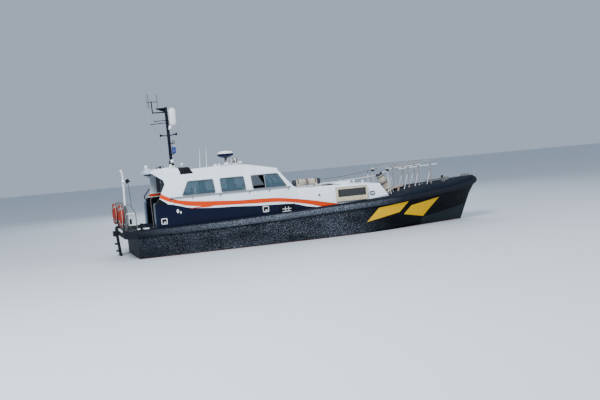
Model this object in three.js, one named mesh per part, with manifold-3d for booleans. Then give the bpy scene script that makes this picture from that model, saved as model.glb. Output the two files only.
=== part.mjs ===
// Pilot boat, 14.6 m. Millimetres, X forward, Y to port, Z up.
// Origin on the centreline at the waterline, 7.5 m aft of the bow's tip.
import * as THREE from 'three';
import { mergeVertices } from 'three/addons/utils/BufferGeometryUtils.js';
import Module from 'manifold-3d';

const wasm = await Module();
wasm.setup();

// Driving dimensions
const GAP = 0.4;              // running gap between pieces that touch
const TRANSOM_X = -6650;
const PLATFORM_X = -7100;     // aft edge of the stern platform
const HOUSE_AFT_X = -5930;
const BULKHEAD_X = -5000;     // aft bulkhead, at the head of the open shelter
const TRUNK_AFT_X = -640;     // where the wheelhouse front meets the trunk cabin
const HOUSE_HALF = 1650;      // half breadth of the house at its foot
const KNUCKLE_Z = 1950;       // above this the house sides lean in
const LEAN = 0.208;           // inward lean of the upper sides, mm per mm
const WALL = 50;
const BELT_DEPTH = 200;
const MAST_X = -4960;
const DECK_AFT_Z = 1030;

const root = new THREE.Group();

// Paints and metals
const finish = (color, roughness, metalness = 0) => ({ color, roughness, metalness });
const BLACK_HULL = finish(0x15181d, 0.55);
const BLACK_RUBBER = finish(0x101113, 0.85);
const WHITE = finish(0xe9edf0, 0.35);
const NAVY = finish(0x0e1a3c, 0.4);
const CREAM = finish(0xd9cfae, 0.5);
const GLASS = finish(0x27404c, 0.1);
const STEEL = finish(0xb9bec2, 0.35, 0.9);
const BLACK_PAINT = finish(0x0d0f12, 0.5);
const BRONZE = finish(0xa9803f, 0.35, 0.9);
const ORANGE = finish(0xe2541a, 0.6);
const VINYL = finish(0x1c2430, 0.7);

// Turn a geometry into a solid that can be cut and joined.
function solidOf(geometry) {
  const plain = geometry.index ? geometry.toNonIndexed() : geometry.clone();
  plain.deleteAttribute('normal');
  plain.deleteAttribute('uv');
  const merged = mergeVertices(plain, 1e-3);
  const mesh = new wasm.Mesh({
    numProp: 3,
    vertProperties: new Float32Array(merged.attributes.position.array),
    triVerts: new Uint32Array(merged.index.array),
  });
  return new wasm.Manifold(mesh);
}

function geometryOf(solid) {
  const mesh = solid.getMesh();
  const geometry = new THREE.BufferGeometry();
  geometry.setAttribute('position', new THREE.BufferAttribute(new Float32Array(mesh.vertProperties), 3));
  geometry.setIndex(new THREE.BufferAttribute(new Uint32Array(mesh.triVerts), 1));
  geometry.computeVertexNormals();
  return geometry;
}

const join = (first, ...others) => others.reduce((sum, other) => sum.add(other), first);
const cut = (first, ...others) => others.reduce((rest, other) => rest.subtract(other), first);

function addPiece(name, shape, paint) {
  const geometry = shape.isBufferGeometry ? shape : geometryOf(shape);
  const mesh = new THREE.Mesh(geometry, new THREE.MeshStandardMaterial(paint));
  mesh.name = name;
  root.add(mesh);
  return mesh;
}

// Skin a row of closed rings of points, with both ends capped. The cap is filled in the plane of capOutline.
function loftRings(rings, capOutline = rings[0].map((p) => new THREE.Vector2(p.y, p.z))) {
  const count = rings[0].length;
  const positions = rings.flat().flatMap((p) => [p.x, p.y, p.z]);
  const index = [];
  for (let i = 0; i < rings.length - 1; i += 1) {
    for (let j = 0; j < count; j += 1) {
      const a = i * count + j;
      const b = i * count + ((j + 1) % count);
      index.push(a, b, b + count, a, b + count, a + count);
    }
  }
  const last = (rings.length - 1) * count;
  const clockwise = THREE.ShapeUtils.isClockWise(capOutline);
  for (const [a, b, c] of THREE.ShapeUtils.triangulateShape(capOutline, [])) {
    const [p, q] = clockwise ? [c, b] : [b, c];
    index.push(a, q, p, last + a, last + p, last + q);
  }
  const geometry = new THREE.BufferGeometry();
  geometry.setAttribute('position', new THREE.Float32BufferAttribute(positions, 3));
  geometry.setIndex(index);
  return faceOut(geometry);
}

// Turn the faces the other way where the enclosed volume comes out negative.
function faceOut(geometry) {
  const p = geometry.attributes.position;
  const index = geometry.index.array;
  const [a, b, c] = [new THREE.Vector3(), new THREE.Vector3(), new THREE.Vector3()];
  let volume = 0;
  for (let i = 0; i < index.length; i += 3) {
    a.fromBufferAttribute(p, index[i]);
    b.fromBufferAttribute(p, index[i + 1]);
    c.fromBufferAttribute(p, index[i + 2]);
    volume += a.dot(b.cross(c));
  }
  if (volume < 0) {
    for (let i = 0; i < index.length; i += 3) {
      [index[i], index[i + 1]] = [index[i + 1], index[i]];
    }
  }
  return geometry;
}

const shapeOf = (points) => new THREE.Shape(points.map(([u, v]) => new THREE.Vector2(u, v)));

// An outline of [x, z] points made thick along Y, from y0 to y1.
function acrossBoat(points, y0, y1) {
  const geometry = new THREE.ExtrudeGeometry(shapeOf(points), { depth: y1 - y0, bevelEnabled: false });
  geometry.rotateX(Math.PI / 2);
  geometry.translate(0, y1, 0);
  return solidOf(geometry);
}

// An outline of [y, z] points made long along X, from x0 to x1.
function alongBoat(points, x0, x1) {
  const geometry = new THREE.ExtrudeGeometry(shapeOf(points), { depth: x1 - x0, bevelEnabled: false });
  geometry.rotateX(Math.PI / 2);
  geometry.rotateZ(Math.PI / 2);
  geometry.translate(x0, 0, 0);
  return solidOf(geometry);
}

// An outline of [x, y] points made high along Z, from z0 to z1.
function upward(points, z0, z1) {
  const geometry = new THREE.ExtrudeGeometry(shapeOf(points), { depth: z1 - z0, bevelEnabled: false });
  geometry.translate(0, 0, z0);
  return solidOf(geometry);
}

function block(x0, x1, y0, y1, z0, z1) {
  const geometry = new THREE.BoxGeometry(x1 - x0, y1 - y0, z1 - z0);
  geometry.translate((x0 + x1) / 2, (y0 + y1) / 2, (z0 + z1) / 2);
  return solidOf(geometry);
}

// A rod between two points.
function rod(from, to, radius, sides = 6) {
  const start = new THREE.Vector3(...from);
  const run = new THREE.Vector3(...to).sub(start);
  const geometry = new THREE.CylinderGeometry(radius, radius, run.length(), sides);
  geometry.applyQuaternion(new THREE.Quaternion().setFromUnitVectors(new THREE.Vector3(0, 1, 0), run.clone().normalize()));
  geometry.translate(start.x + run.x / 2, start.y + run.y / 2, start.z + run.z / 2);
  return solidOf(geometry);
}

// A round tube smoothed through a list of points.
function bentTube(points, radius, steps, sides = 8) {
  const path = new THREE.CatmullRomCurve3(points.map((p) => new THREE.Vector3(...p)), false, 'centripetal');
  const circle = new THREE.Shape();
  circle.absarc(0, 0, radius, 0, 2 * Math.PI);
  const geometry = new THREE.ExtrudeGeometry(circle, { steps, curveSegments: sides / 2, extrudePath: path, bevelEnabled: false });
  return solidOf(geometry);
}

// A turned piece: profile of [radius, height] points, axis up, foot at the given place.
function turned(profile, [x, y, z], segments = 20, turn = [0, 0, 0]) {
  const geometry = new THREE.LatheGeometry(profile.map(([r, h]) => new THREE.Vector2(r, h)), segments);
  geometry.rotateX(Math.PI / 2);
  geometry.applyMatrix4(new THREE.Matrix4().makeRotationFromEuler(new THREE.Euler(...turn)));
  geometry.translate(x, y, z);
  return solidOf(geometry);
}

// A pinned hinge: the fixed side is two eyes with the pin, the moving side one bored knuckle between them.
const HINGE = { eye: 13, pin: 6, half: 15, end: 40, sides: 12 };
const HINGE_AXES = { across: [0, 1, 0], upright: [0, 0, 1] };
function hingeSpan([x, y, z], axis, from, to, radius) {
  const [, ay, az] = HINGE_AXES[axis];
  return rod([x, y + ay * from, z + az * from], [x, y + ay * to, z + az * to], radius, HINGE.sides);
}
const hingeFixed = (at, axis) => join(
  hingeSpan(at, axis, -HINGE.end, -HINGE.half - GAP, HINGE.eye),
  hingeSpan(at, axis, HINGE.half + GAP, HINGE.end, HINGE.eye),
  hingeSpan(at, axis, -HINGE.end, HINGE.end, HINGE.pin),
);
const hingeBore = (at, axis) => hingeSpan(at, axis, -HINGE.end, HINGE.end, HINGE.pin + GAP);
const hingeKnuckle = (at, axis) => hingeSpan(at, axis, -HINGE.half, HINGE.half, HINGE.eye);

// Hull: the stations, each a keel, chine and sheer point with the deck's crown above the sheer.
// [keelX, keelZ, chineX, chineY, chineZ, sheerX, sheerY, sheerZ, crown]
const STATIONS = [
  [-6650, -560, -6650, 1760, -180, -6650, 2040, 1010, 20],
  [-4400, -660, -4400, 1840, -190, -4400, 2110, 1030, 25],
  [-2000, -740, -2000, 1860, -170, -2000, 2120, 1085, 30],
  [300, -780, 300, 1830, -90, 300, 2120, 1160, 35],
  [2100, -780, 2100, 1690, 30, 2300, 2060, 1230, 45],
  [3100, -780, 3150, 1500, 115, 3350, 1960, 1275, 85],
  [3900, -770, 4000, 1270, 220, 4350, 1800, 1340, 225],
  [5100, -730, 5350, 830, 400, 5850, 1330, 1465, 190],
  [6020, -600, 6320, 430, 545, 6850, 790, 1590, 135],
  [6440, -440, 6830, 160, 625, 7270, 400, 1665, 85],
  [6620, -250, 7030, 16, 670, 7420, 16, 1710, 45],
];
const STATION_STEPS = 4;      // loft sections between two stations
const STRIP = 230;            // upright strip under the sheer that carries the belt
const DECK_RISE = [[0.94, 0.42], [0.86, 0.62], [0.72, 0.78], [0.42, 0.94]]; // [share of breadth, share of crown]
const STEM_HALF = 16;

// Smooth lines through the stations for one set of columns.
function fairLine(columns) {
  const points = STATIONS.map((row) => new THREE.Vector3(...columns.map((c) => (c === null ? 0 : row[c]))));
  return new THREE.CatmullRomCurve3(points, false, 'centripetal');
}
const keelLine = fairLine([0, null, 1]);
const chineLine = fairLine([2, 3, 4]);
const sheerLine = fairLine([5, 6, 7]);
const crownLine = fairLine([5, null, 8]);
const LOFTS = (STATIONS.length - 1) * STATION_STEPS;
const hullStation = (i) => {
  const t = i / LOFTS;
  return {
    keel: keelLine.getPoint(t), chine: chineLine.getPoint(t), sheer: sheerLine.getPoint(t), crown: crownLine.getPoint(t).z,
  };
};

function hullRing(i) {
  const { keel, chine, sheer, crown } = hullStation(i);
  chine.y = Math.max(chine.y, STEM_HALF);
  sheer.y = Math.max(sheer.y, STEM_HALF);
  const mix = (a, b, s, bulge = 0) => new THREE.Vector3().lerpVectors(a, b, s).add(new THREE.Vector3(0, bulge, 0));
  const chineInner = new THREE.Vector3(chine.x, Math.max(chine.y - 70, STEM_HALF * 0.9), chine.z - 14);
  const strip = new THREE.Vector3(sheer.x, sheer.y, sheer.z - STRIP);
  const flare = -0.09 * Math.max(0, sheer.y - chine.y - 300);
  const half = [
    keel,
    mix(keel, chineInner, 0.5, 0),
    chineInner,
    chine,
    mix(chine, strip, 0.35, flare),
    mix(chine, strip, 0.7, flare),
    strip,
    sheer,
    ...DECK_RISE.map(([breadth, rise]) => new THREE.Vector3(sheer.x, sheer.y * breadth, sheer.z + crown * rise)),
    new THREE.Vector3(sheer.x, 0, sheer.z + crown),
  ];
  const mirrored = half.slice(1, -1).reverse().map((p) => new THREE.Vector3(p.x, -p.y, p.z));
  return [...half, ...mirrored];
}

const hull = solidOf(loftRings(Array.from({ length: LOFTS + 1 }, (_, i) => hullRing(i))));
const hullRaised = hull.translate([0, 0, GAP]);

// Skeg: a deep fin on the centreline, its top let into the shape of the bottom.
const skegOutline = [[-5900, -400], [3600, -400], [3900, -790], [2600, -1080], [-4900, -1080], [-5600, -900]];
const keelSkeg = cut(acrossBoat(skegOutline, -55, 55), hull.translate([0, 0, -GAP]));

// Rubber belt: a D section carried along the sheer on both sides and round the bow.
const BELT_SECTION = [[GAP, 0], [70, 0], [105, -45], [115, -100], [105, -155], [70, -BELT_DEPTH], [GAP, -BELT_DEPTH]];
function beltPath() {
  const port = Array.from({ length: LOFTS + 1 }, (_, i) => {
    const { sheer } = hullStation(i);
    return new THREE.Vector3(sheer.x, Math.max(sheer.y, STEM_HALF), sheer.z - 15);
  });
  return [...port, ...port.slice().reverse().map((p) => new THREE.Vector3(p.x, -p.y, p.z))];
}
function beltRings() {
  const path = beltPath();
  return path.map((p, i) => {
    const before = path[Math.max(i - 1, 0)];
    const after = path[Math.min(i + 1, path.length - 1)];
    const into = new THREE.Vector3().subVectors(p, before).setZ(0).normalize();
    const out = new THREE.Vector3().subVectors(after, p).setZ(0).normalize();
    const along = (i === 0 ? out : i === path.length - 1 ? into : into.clone().add(out)).clone().normalize();
    const miter = i === 0 || i === path.length - 1 ? 1 : Math.min(1 / along.dot(into), 1.3);
    const outward = new THREE.Vector3(along.y, -along.x, 0).multiplyScalar(-miter);
    return BELT_SECTION.map(([away, down]) => p.clone().addScaledVector(outward, away).add(new THREE.Vector3(0, 0, down)));
  });
}
const beltRound = solidOf(loftRings(beltRings(), BELT_SECTION.map(([u, v]) => new THREE.Vector2(u, v))));
const fenderBelt = cut(beltRound, block(-7200, TRANSOM_X, -2400, 2400, 500, 1500));

// Stern platform, carried aft of the transom, with rounded corners.
const platformOutline = [
  [TRANSOM_X - GAP, -2080], [PLATFORM_X + 160, -2080], [PLATFORM_X + 45, -2030], [PLATFORM_X, -1920],
  [PLATFORM_X, 1920], [PLATFORM_X + 45, 2030], [PLATFORM_X + 160, 2080], [TRANSOM_X - GAP, 2080],
];
const sternPlatform = upward(platformOutline, 760, DECK_AFT_Z);

// House sides: upright to the knuckle, then leaning in.
const halfAt = (z) => HOUSE_HALF - Math.max(0, z - KNUCKLE_Z) * LEAN;
function houseSection(inset, top = 3300) {
  const foot = HOUSE_HALF - inset;
  const head = halfAt(top) - inset;
  return [[-foot, 700], [foot, 700], [foot, KNUCKLE_Z], [head, top], [-head, top], [-foot, KNUCKLE_Z]];
}

// Roof line, aft to forward: [x, underside z, top z]. The raised aft part carries the mast.
const ROOF = [
  [-5950, 2965, 3020], [-5900, 2960, 3050], [-5250, 2915, 3095], [-4940, 2890, 3070], [-4890, 2886, 2940],
  [-3900, 2915, 2965], [-3100, 2945, 2995], [-2300, 2915, 2965], [-1700, 2795, 2850], [-1290, 2705, 2765],
];
const WINDSCREEN_TOP_X = -1265;
const WINDSCREEN_FOOT = [-690, KNUCKLE_Z];

// Side view of the walls, inset by the wall's thickness for the space inside.
const roofUnderside = (drop) => ROOF.slice(1).map(([x, under]) => [x, under - drop]);
const WING_EDGE = [[-5890, 2945], [-5530, 2690], [-5490, 2540], [-5650, 2240], [-5730, 2060], [HOUSE_AFT_X, 1850]];
const wallOutline = [
  [HOUSE_AFT_X, 700], [TRUNK_AFT_X, 700], [TRUNK_AFT_X, KNUCKLE_Z - 5], [WINDSCREEN_FOOT[0] - 20, KNUCKLE_Z + 20],
  ...roofUnderside(GAP).reverse().slice(0, -1), ...WING_EDGE,
];
const wallOuter = acrossBoat(wallOutline, -2000, 2000).intersect(alongBoat(houseSection(0), -6100, -500));

// The port wing's after edge is upright: a panel of the wall's thickness fills the notch.
const WING_PANEL = { x0: -5640, x1: -5440, z0: 2230, z1: 2790 };
const portWingPanel = block(WING_PANEL.x0, WING_PANEL.x1, 1000, 2000, WING_PANEL.z0, WING_PANEL.z1)
  .intersect(alongBoat(houseSection(0), -6100, -500))
  .subtract(alongBoat(houseSection(WALL), -6200, -400));

// Cabin space inside: from the bulkhead forward, open to the trunk cabin below the windscreen.
const cabinOutline = [
  [BULKHEAD_X + WALL, 500], [TRUNK_AFT_X + 200, 500], [TRUNK_AFT_X + 200, KNUCKLE_Z - 60],
  [WINDSCREEN_FOOT[0] - 70, KNUCKLE_Z - 60], [WINDSCREEN_FOOT[0] - 85, KNUCKLE_Z], [WINDSCREEN_TOP_X - 95, 2725],
  [WINDSCREEN_TOP_X - 95, 3200], [BULKHEAD_X + WALL, 3200],
];
const cabinSpace = acrossBoat(cabinOutline, -2000, 2000).intersect(alongBoat(houseSection(WALL), -6100, -300));

// Shelter space aft of the bulkhead, open to the stern between two corner panels.
const shelterSpace = join(
  block(HOUSE_AFT_X + WALL, BULKHEAD_X, -2000, 2000, 500, 3200),
  block(-6200, HOUSE_AFT_X + 200, -1220, 1220, 500, 3200),
  block(-6200, -5600, -2000, 2000, 2100, 3200),
).intersect(alongBoat(houseSection(WALL), -6300, -300));

const DOOR_HALF = 340;
const DOOR_HEAD_Z = 2780;
const DOOR_SILL_Z = 1130;
const doorway = block(BULKHEAD_X - 10, BULKHEAD_X + WALL + 10, -DOOR_HALF, DOOR_HALF, DOOR_SILL_Z, DOOR_HEAD_Z);

// Side windows: [name, outline of x and z]. The last one has its aft half slid open to starboard.
const WINDOW_FOOT = 2085;
const WINDOW_HEAD = 2570;
const SIDE_WINDOWS = [
  ['aft', [[-4905, WINDOW_FOOT], [-3710, WINDOW_FOOT], [-3750, WINDOW_HEAD], [-4660, WINDOW_HEAD]]],
  ['middle', [[-3465, WINDOW_FOOT], [-2570, WINDOW_FOOT], [-2610, WINDOW_HEAD], [-3480, WINDOW_HEAD]]],
  ['forward', [[-2290, WINDOW_FOOT], [-1025, WINDOW_FOOT], [-1325, WINDOW_HEAD], [-2320, WINDOW_HEAD]]],
];
const SLIDER_AFT_X = -1810;   // aft edge of the forward pane where the slider stands open
const sideCuts = SIDE_WINDOWS.map(([, outline]) => acrossBoat(outline, -2000, 2000));

// Windscreen: three panes between upright pillars, [y from, y to].
const SCREEN_FOOT = 2060;
const SCREEN_HEAD = 2640;
const SCREENS = [['port', 530, 1330], ['centre', -450, 450], ['starboard', -1330, -530]];
const screenCuts = SCREENS.map(([, y0, y1]) => {
  const lean = 90;
  const [foot0, foot1] = [y0 - (y0 < -500 ? 60 : 0), y1 + (y1 > 500 ? 60 : 0)];
  const [head0, head1] = [y0 + (y0 < -500 ? lean - 60 : 0), y1 - (y1 > 500 ? lean - 60 : 0)];
  return alongBoat([[foot0, SCREEN_FOOT], [foot1, SCREEN_FOOT], [head1, SCREEN_HEAD], [head0, SCREEN_HEAD]], -1600, -300);
});

const DOOR_HINGES = [1400, 2500].map((z) => [BULKHEAD_X - 25, DOOR_HALF + 60, z]);
const doorLugs = DOOR_HINGES.map(([x, y, z]) => [-28, 28].map((dz) => block(x, BULKHEAD_X + 5, y - 8, y + 8, z + dz - 12, z + dz + 12)));
const wheelhouse = join(
  cut(wallOuter, cabinSpace, shelterSpace, doorway, ...sideCuts, ...screenCuts, hullRaised),
  portWingPanel, ...DOOR_HINGES.map((at) => hingeFixed(at, 'upright')), ...doorLugs.flat(),
);

// Panes lie in the thickness of the wall, a hair smaller than their openings.
const PANE_IN = 16;
const PANE_THICK = 10;
const sideGlass = alongBoat(houseSection(PANE_IN), -5200, -600)
  .subtract(alongBoat(houseSection(PANE_IN + PANE_THICK), -5300, -500));
const shrink = (outline, by) => {
  const cx = outline.reduce((sum, [u]) => sum + u, 0) / outline.length;
  const cz = outline.reduce((sum, [, v]) => sum + v, 0) / outline.length;
  return outline.map(([u, v]) => [u - Math.sign(u - cx) * by, v - Math.sign(v - cz) * by]);
};
const sidePanes = [];
for (const [place, outline] of SIDE_WINDOWS) {
  for (const [side, y0, y1] of [['port', 1000, 2000], ['starboard', -2000, -1000]]) {
    const open = place === 'forward' && side === 'starboard';
    const edge = open ? [[SLIDER_AFT_X, WINDOW_FOOT], outline[1], outline[2], [SLIDER_AFT_X, WINDOW_HEAD]] : outline;
    sidePanes.push([`side_pane_${place}_${side}`, acrossBoat(shrink(edge, 0.6), y0, y1).intersect(sideGlass)]);
  }
}
const screenSlab = wallOuter.translate([-18, 0, 0]).subtract(wallOuter.translate([-30, 0, 0]));
const screenPanes = SCREENS.map(([side], i) => {
  const inner = screenCuts[i].intersect(block(-1600, -300, -1500, 1500, SCREEN_FOOT + 0.6, SCREEN_HEAD - 0.6));
  return [`windscreen_${side}`, inner.intersect(screenSlab).intersect(block(-1500, -600, -1600, 1600, 2000, 2700))];
});

// Roof: sections along the boat, with rounded edges and a slight crown.
const roofRing = ([x, under, top]) => {
  const edge = halfAt(top);
  const half = [
    [halfAt(under), under], [halfAt(top - 45), Math.max(top - 45, under + 4)], [edge - 16, top - 12], [edge - 60, top],
    [edge * 0.5, top + 30], [0, top + 42],
  ];
  const mirrored = half.slice(0, -1).reverse().map(([y, z]) => [-y, z]);
  return [...half, ...mirrored].map(([y, z]) => new THREE.Vector3(x, y, z));
};
const MAST_FOOT_Z = 3125;
const SEARCHLIGHT = { x: -2690, y: -520, z: 3085 };   // z is the top of its fixed foot
const roofBody = solidOf(loftRings(ROOF.map(roofRing)));
const wheelhouseRoof = join(
  roofBody,
  turned([[0, 0], [70, 0], [70, 60], [34, 75], [34, 120], [0, 120]], [SEARCHLIGHT.x, SEARCHLIGHT.y, 2965], 16),
);

// Trunk cabin: a low hollow house ahead of the wheelhouse. [foot x, top x, half at foot, half at top, top z]
const TRUNK = [
  [TRUNK_AFT_X + GAP, TRUNK_AFT_X + GAP, 1650, 1630, 1945],
  [1280, 1280, 1640, 1575, 1910],
  [2130, 2130, 1600, 1520, 1872],
  [3080, 2740, 1520, 1430, 1830],
];
const TRUNK_CROWN = 30;
function trunkBody(inset) {
  const rings = TRUNK.map(([footX, topX, foot, head, top], i) => {
    const end = i === TRUNK.length - 1 ? -inset : i === 0 ? -(inset * 4) : 0;
    const z = top - inset;
    const deckZ = 700 - inset;
    const run = (deckZ - top) / (1330 - top);
    const fx = topX + (footX - topX) * run + end;
    return [
      new THREE.Vector3(fx, foot - inset, deckZ),
      new THREE.Vector3(topX + end, head - inset, z - 20),
      new THREE.Vector3(topX + end, head - inset - 20, z),
      new THREE.Vector3(topX + end, 0, z + TRUNK_CROWN),
      new THREE.Vector3(topX + end, -(head - inset - 20), z),
      new THREE.Vector3(topX + end, -(head - inset), z - 20),
      new THREE.Vector3(fx, -(foot - inset), deckZ),
    ];
  });
  return solidOf(loftRings(rings));
}
const TRUNK_HATCH = { x: 1650, half: 300, z: 1960 };
const trunkHatchHole = block(
  TRUNK_HATCH.x - TRUNK_HATCH.half + 40, TRUNK_HATCH.x + TRUNK_HATCH.half - 40,
  -TRUNK_HATCH.half + 40, TRUNK_HATCH.half - 40, 1700, 2100,
);
const trunkHatchCoaming = block(
  TRUNK_HATCH.x - TRUNK_HATCH.half, TRUNK_HATCH.x + TRUNK_HATCH.half, -TRUNK_HATCH.half, TRUNK_HATCH.half, 1880, TRUNK_HATCH.z,
);

// Hatch lids, each hinged at two places along its forward edge.
const LID = { over: 10, clear: 6, thick: 34, dome: 44, hingeAhead: 32, hingeUp: 25, hingeY: 150 };
const hatchHinges = (x, half, z) => [-1, 1].map((sign) => [x + half + LID.hingeAhead, sign * LID.hingeY, z + LID.hingeUp]);
const lidShape = (x, half, z) => {
  const edge = half + LID.over;
  const hinges = hatchHinges(x, half, z);
  return cut(
    join(
      block(x - edge, x + edge, -edge, edge, z + LID.clear, z + LID.thick + LID.clear),
      block(x - half + 60, x + half - 60, -half + 60, half - 60, z + LID.thick, z + LID.clear + LID.dome),
      ...hinges.map((at) => hingeKnuckle(at, 'across')),
      ...hinges.map(([hx, hy, hz]) => block(x + half, hx, hy - 12, hy + 12, hz - 8, hz + 8)),
    ),
    ...hinges.map((at) => hingeBore(at, 'across')),
  );
};
// The eyes stand on webs from the coaming below.
const lidEyes = (x, half, z, webFoot) => hatchHinges(x, half, z).flatMap(([hx, hy, hz]) => [
  hingeFixed([hx, hy, hz], 'across'),
  ...[-28, 28].map((dy) => block(x + half - 10, hx + 8, hy + dy - 11, hy + dy + 11, webFoot, z - 5)),
  ...[-28, 28].map((dy) => block(hx - 8, hx + 8, hy + dy - 11, hy + dy + 11, webFoot, hz)),
]);
const trunkCabin = cut(
  join(trunkBody(0), trunkHatchCoaming, ...lidEyes(TRUNK_HATCH.x, TRUNK_HATCH.half, TRUNK_HATCH.z, TRUNK_HATCH.z - 80)),
  trunkBody(WALL), trunkHatchHole, hullRaised,
);
const trunkHatch = lidShape(TRUNK_HATCH.x, TRUNK_HATCH.half, TRUNK_HATCH.z);
const SHAFT_Y = 800;
const RUDDER = { x: -6520, halfThick: 22, bossZ: -425 };
// The foredeck hatch is tilted with the rise of the deck; tilt in degrees.
const FORE_HATCH = { x: 3950, half: 260, z: 1530, tilt: 8.3 };
const laidOnDeck = (solid) => solid
  .translate([-FORE_HATCH.x, 0, -FORE_HATCH.z])
  .rotate([0, -FORE_HATCH.tilt, 0])
  .translate([FORE_HATCH.x, 0, FORE_HATCH.z]);
const foreCoaming = block(
  FORE_HATCH.x - FORE_HATCH.half, FORE_HATCH.x + FORE_HATCH.half, -FORE_HATCH.half, FORE_HATCH.half,
  FORE_HATCH.z - 150, FORE_HATCH.z,
);
const foreEyes = lidEyes(FORE_HATCH.x, FORE_HATCH.half, FORE_HATCH.z, FORE_HATCH.z - 90);
const rudderBosses = [SHAFT_Y, -SHAFT_Y].map((y) => rod([RUDDER.x, y, -300], [RUDDER.x, y, RUDDER.bossZ], 60, 14));
const hullWithHatch = join(
  hull, laidOnDeck(join(foreCoaming, ...foreEyes)), ...rudderBosses,
);
const foredeckHatch = laidOnDeck(lidShape(FORE_HATCH.x, FORE_HATCH.half, FORE_HATCH.z));

// Louvred air intakes on the trunk sides: a raised frame with slats.
const LOUVRE = { x0: 860, x1: 2120, z0: 1290, z1: 1830 };
function louvre(sign) {
  const away = 1700;
  const panel = block(LOUVRE.x0, LOUVRE.x1, 1400, away, LOUVRE.z0, LOUVRE.z1);
  const bay = block(LOUVRE.x0 + 110, LOUVRE.x1 - 90, away - 45, away + 10, 1510, 1735);
  const slats = [0, 1, 2, 3, 4].map((i) => louvreSlat(1530 + i * 42, away));
  const box = join(cut(panel, bay), ...slats);
  return (sign > 0 ? box : box.mirror([0, 1, 0])).subtract(trunkBody(0).translate([0, GAP * sign, 0]));
}
function louvreSlat(z, away) {
  return alongBoat([[away - 46, z], [away - 46, z + 8], [away - 8, z - 8], [away - 8, z - 16]], LOUVRE.x0 + 100, LOUVRE.x1 - 80);
}

// Cabin door: a plate on the after face of the bulkhead, hinged on its port edge.
const DOOR_THICK = 40;
const cabinDoor = cut(
  join(
    block(BULKHEAD_X - 5 - DOOR_THICK, BULKHEAD_X - 5, -DOOR_HALF - 30, DOOR_HALF + 30, DOOR_SILL_Z - 20, DOOR_HEAD_Z + 20),
    rod([BULKHEAD_X - 85, -280, 1900], [BULKHEAD_X - 85, -280, 2100], 14),
    rod([BULKHEAD_X - 85, -280, 1910], [BULKHEAD_X - 20, -280, 1910], 12),
    rod([BULKHEAD_X - 85, -280, 2090], [BULKHEAD_X - 20, -280, 2090], 12),
    ...DOOR_HINGES.map((at) => hingeKnuckle(at, 'upright')),
    ...DOOR_HINGES.map(([x, y, z]) => block(x - 8, x + 8, DOOR_HALF, y, z - 12, z + 12)),
  ),
  ...DOOR_HINGES.map((at) => hingeBore(at, 'upright')),
);

// Helm: console, wheel, and seats that show through the windows.
const CONSOLE = { x0: -1500, x1: -1010, y0: -1400, y1: -150 };
const WHEEL = { x: -1590, y: -1010, z: 1880, radius: 190, lean: 0.42, stub: 64 };
const alongColumn = (distance) => [
  WHEEL.x + Math.cos(WHEEL.lean) * distance, WHEEL.y, WHEEL.z - Math.sin(WHEEL.lean) * distance,
];
const helmConsole = cut(join(
  acrossBoat(
    [[CONSOLE.x0, 1100], [CONSOLE.x1, 1100], [CONSOLE.x1, 2010], [-1330, 2010], [CONSOLE.x0 + 20, 1880]], CONSOLE.y0, CONSOLE.y1,
  ),
  rod(alongColumn(WHEEL.stub), alongColumn(200), 24, 12),
), hullRaised);
function helmWheelSolid() {
  const rim = new THREE.TorusGeometry(WHEEL.radius, 14, 6, 22);
  const wheel = join(
    solidOf(rim),
    ...[0, 1, 2].map((i) => {
      const a = (i * 2 * Math.PI) / 3 + Math.PI / 2;
      return rod([0, 0, 0], [WHEEL.radius * Math.cos(a), WHEEL.radius * Math.sin(a), 0], 9, 6);
    }),
    rod([0, 0, -18], [0, 0, 26], 34, 12),
    rod([0, 0, 20], [0, 0, WHEEL.stub - GAP], 16, 12),
  );
  return wheel;
}
const wheelTurn = new THREE.Euler(0, Math.PI / 2 + WHEEL.lean, 0);
const helmWheelGeometry = geometryOf(helmWheelSolid());
helmWheelGeometry.applyMatrix4(new THREE.Matrix4().makeRotationFromEuler(wheelTurn));
helmWheelGeometry.translate(WHEEL.x, WHEEL.y, WHEEL.z);

// A seat: pedestal, cushion and back in one plain solid.
function seat(x, y, width) {
  const half = width / 2;
  const foot = 1000;
  return cut(join(
    block(x - 150, x + 150, y - half * 0.6, y + half * 0.6, foot, 1560),
    block(x - 250, x + 260, y - half, y + half, 1550, 1660),
    acrossBoat([[x - 330, 1580], [x - 210, 1580], [x - 250, 2330], [x - 350, 2330]], y - half, y + half),
  ), hullRaised);
}
const seats = [
  ['helm_seat', seat(-2150, -1010, 520)],
  ['crew_seat', seat(-2150, 950, 520)],
  ['bench_starboard', seat(-4050, -1000, 1000)],
];

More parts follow.
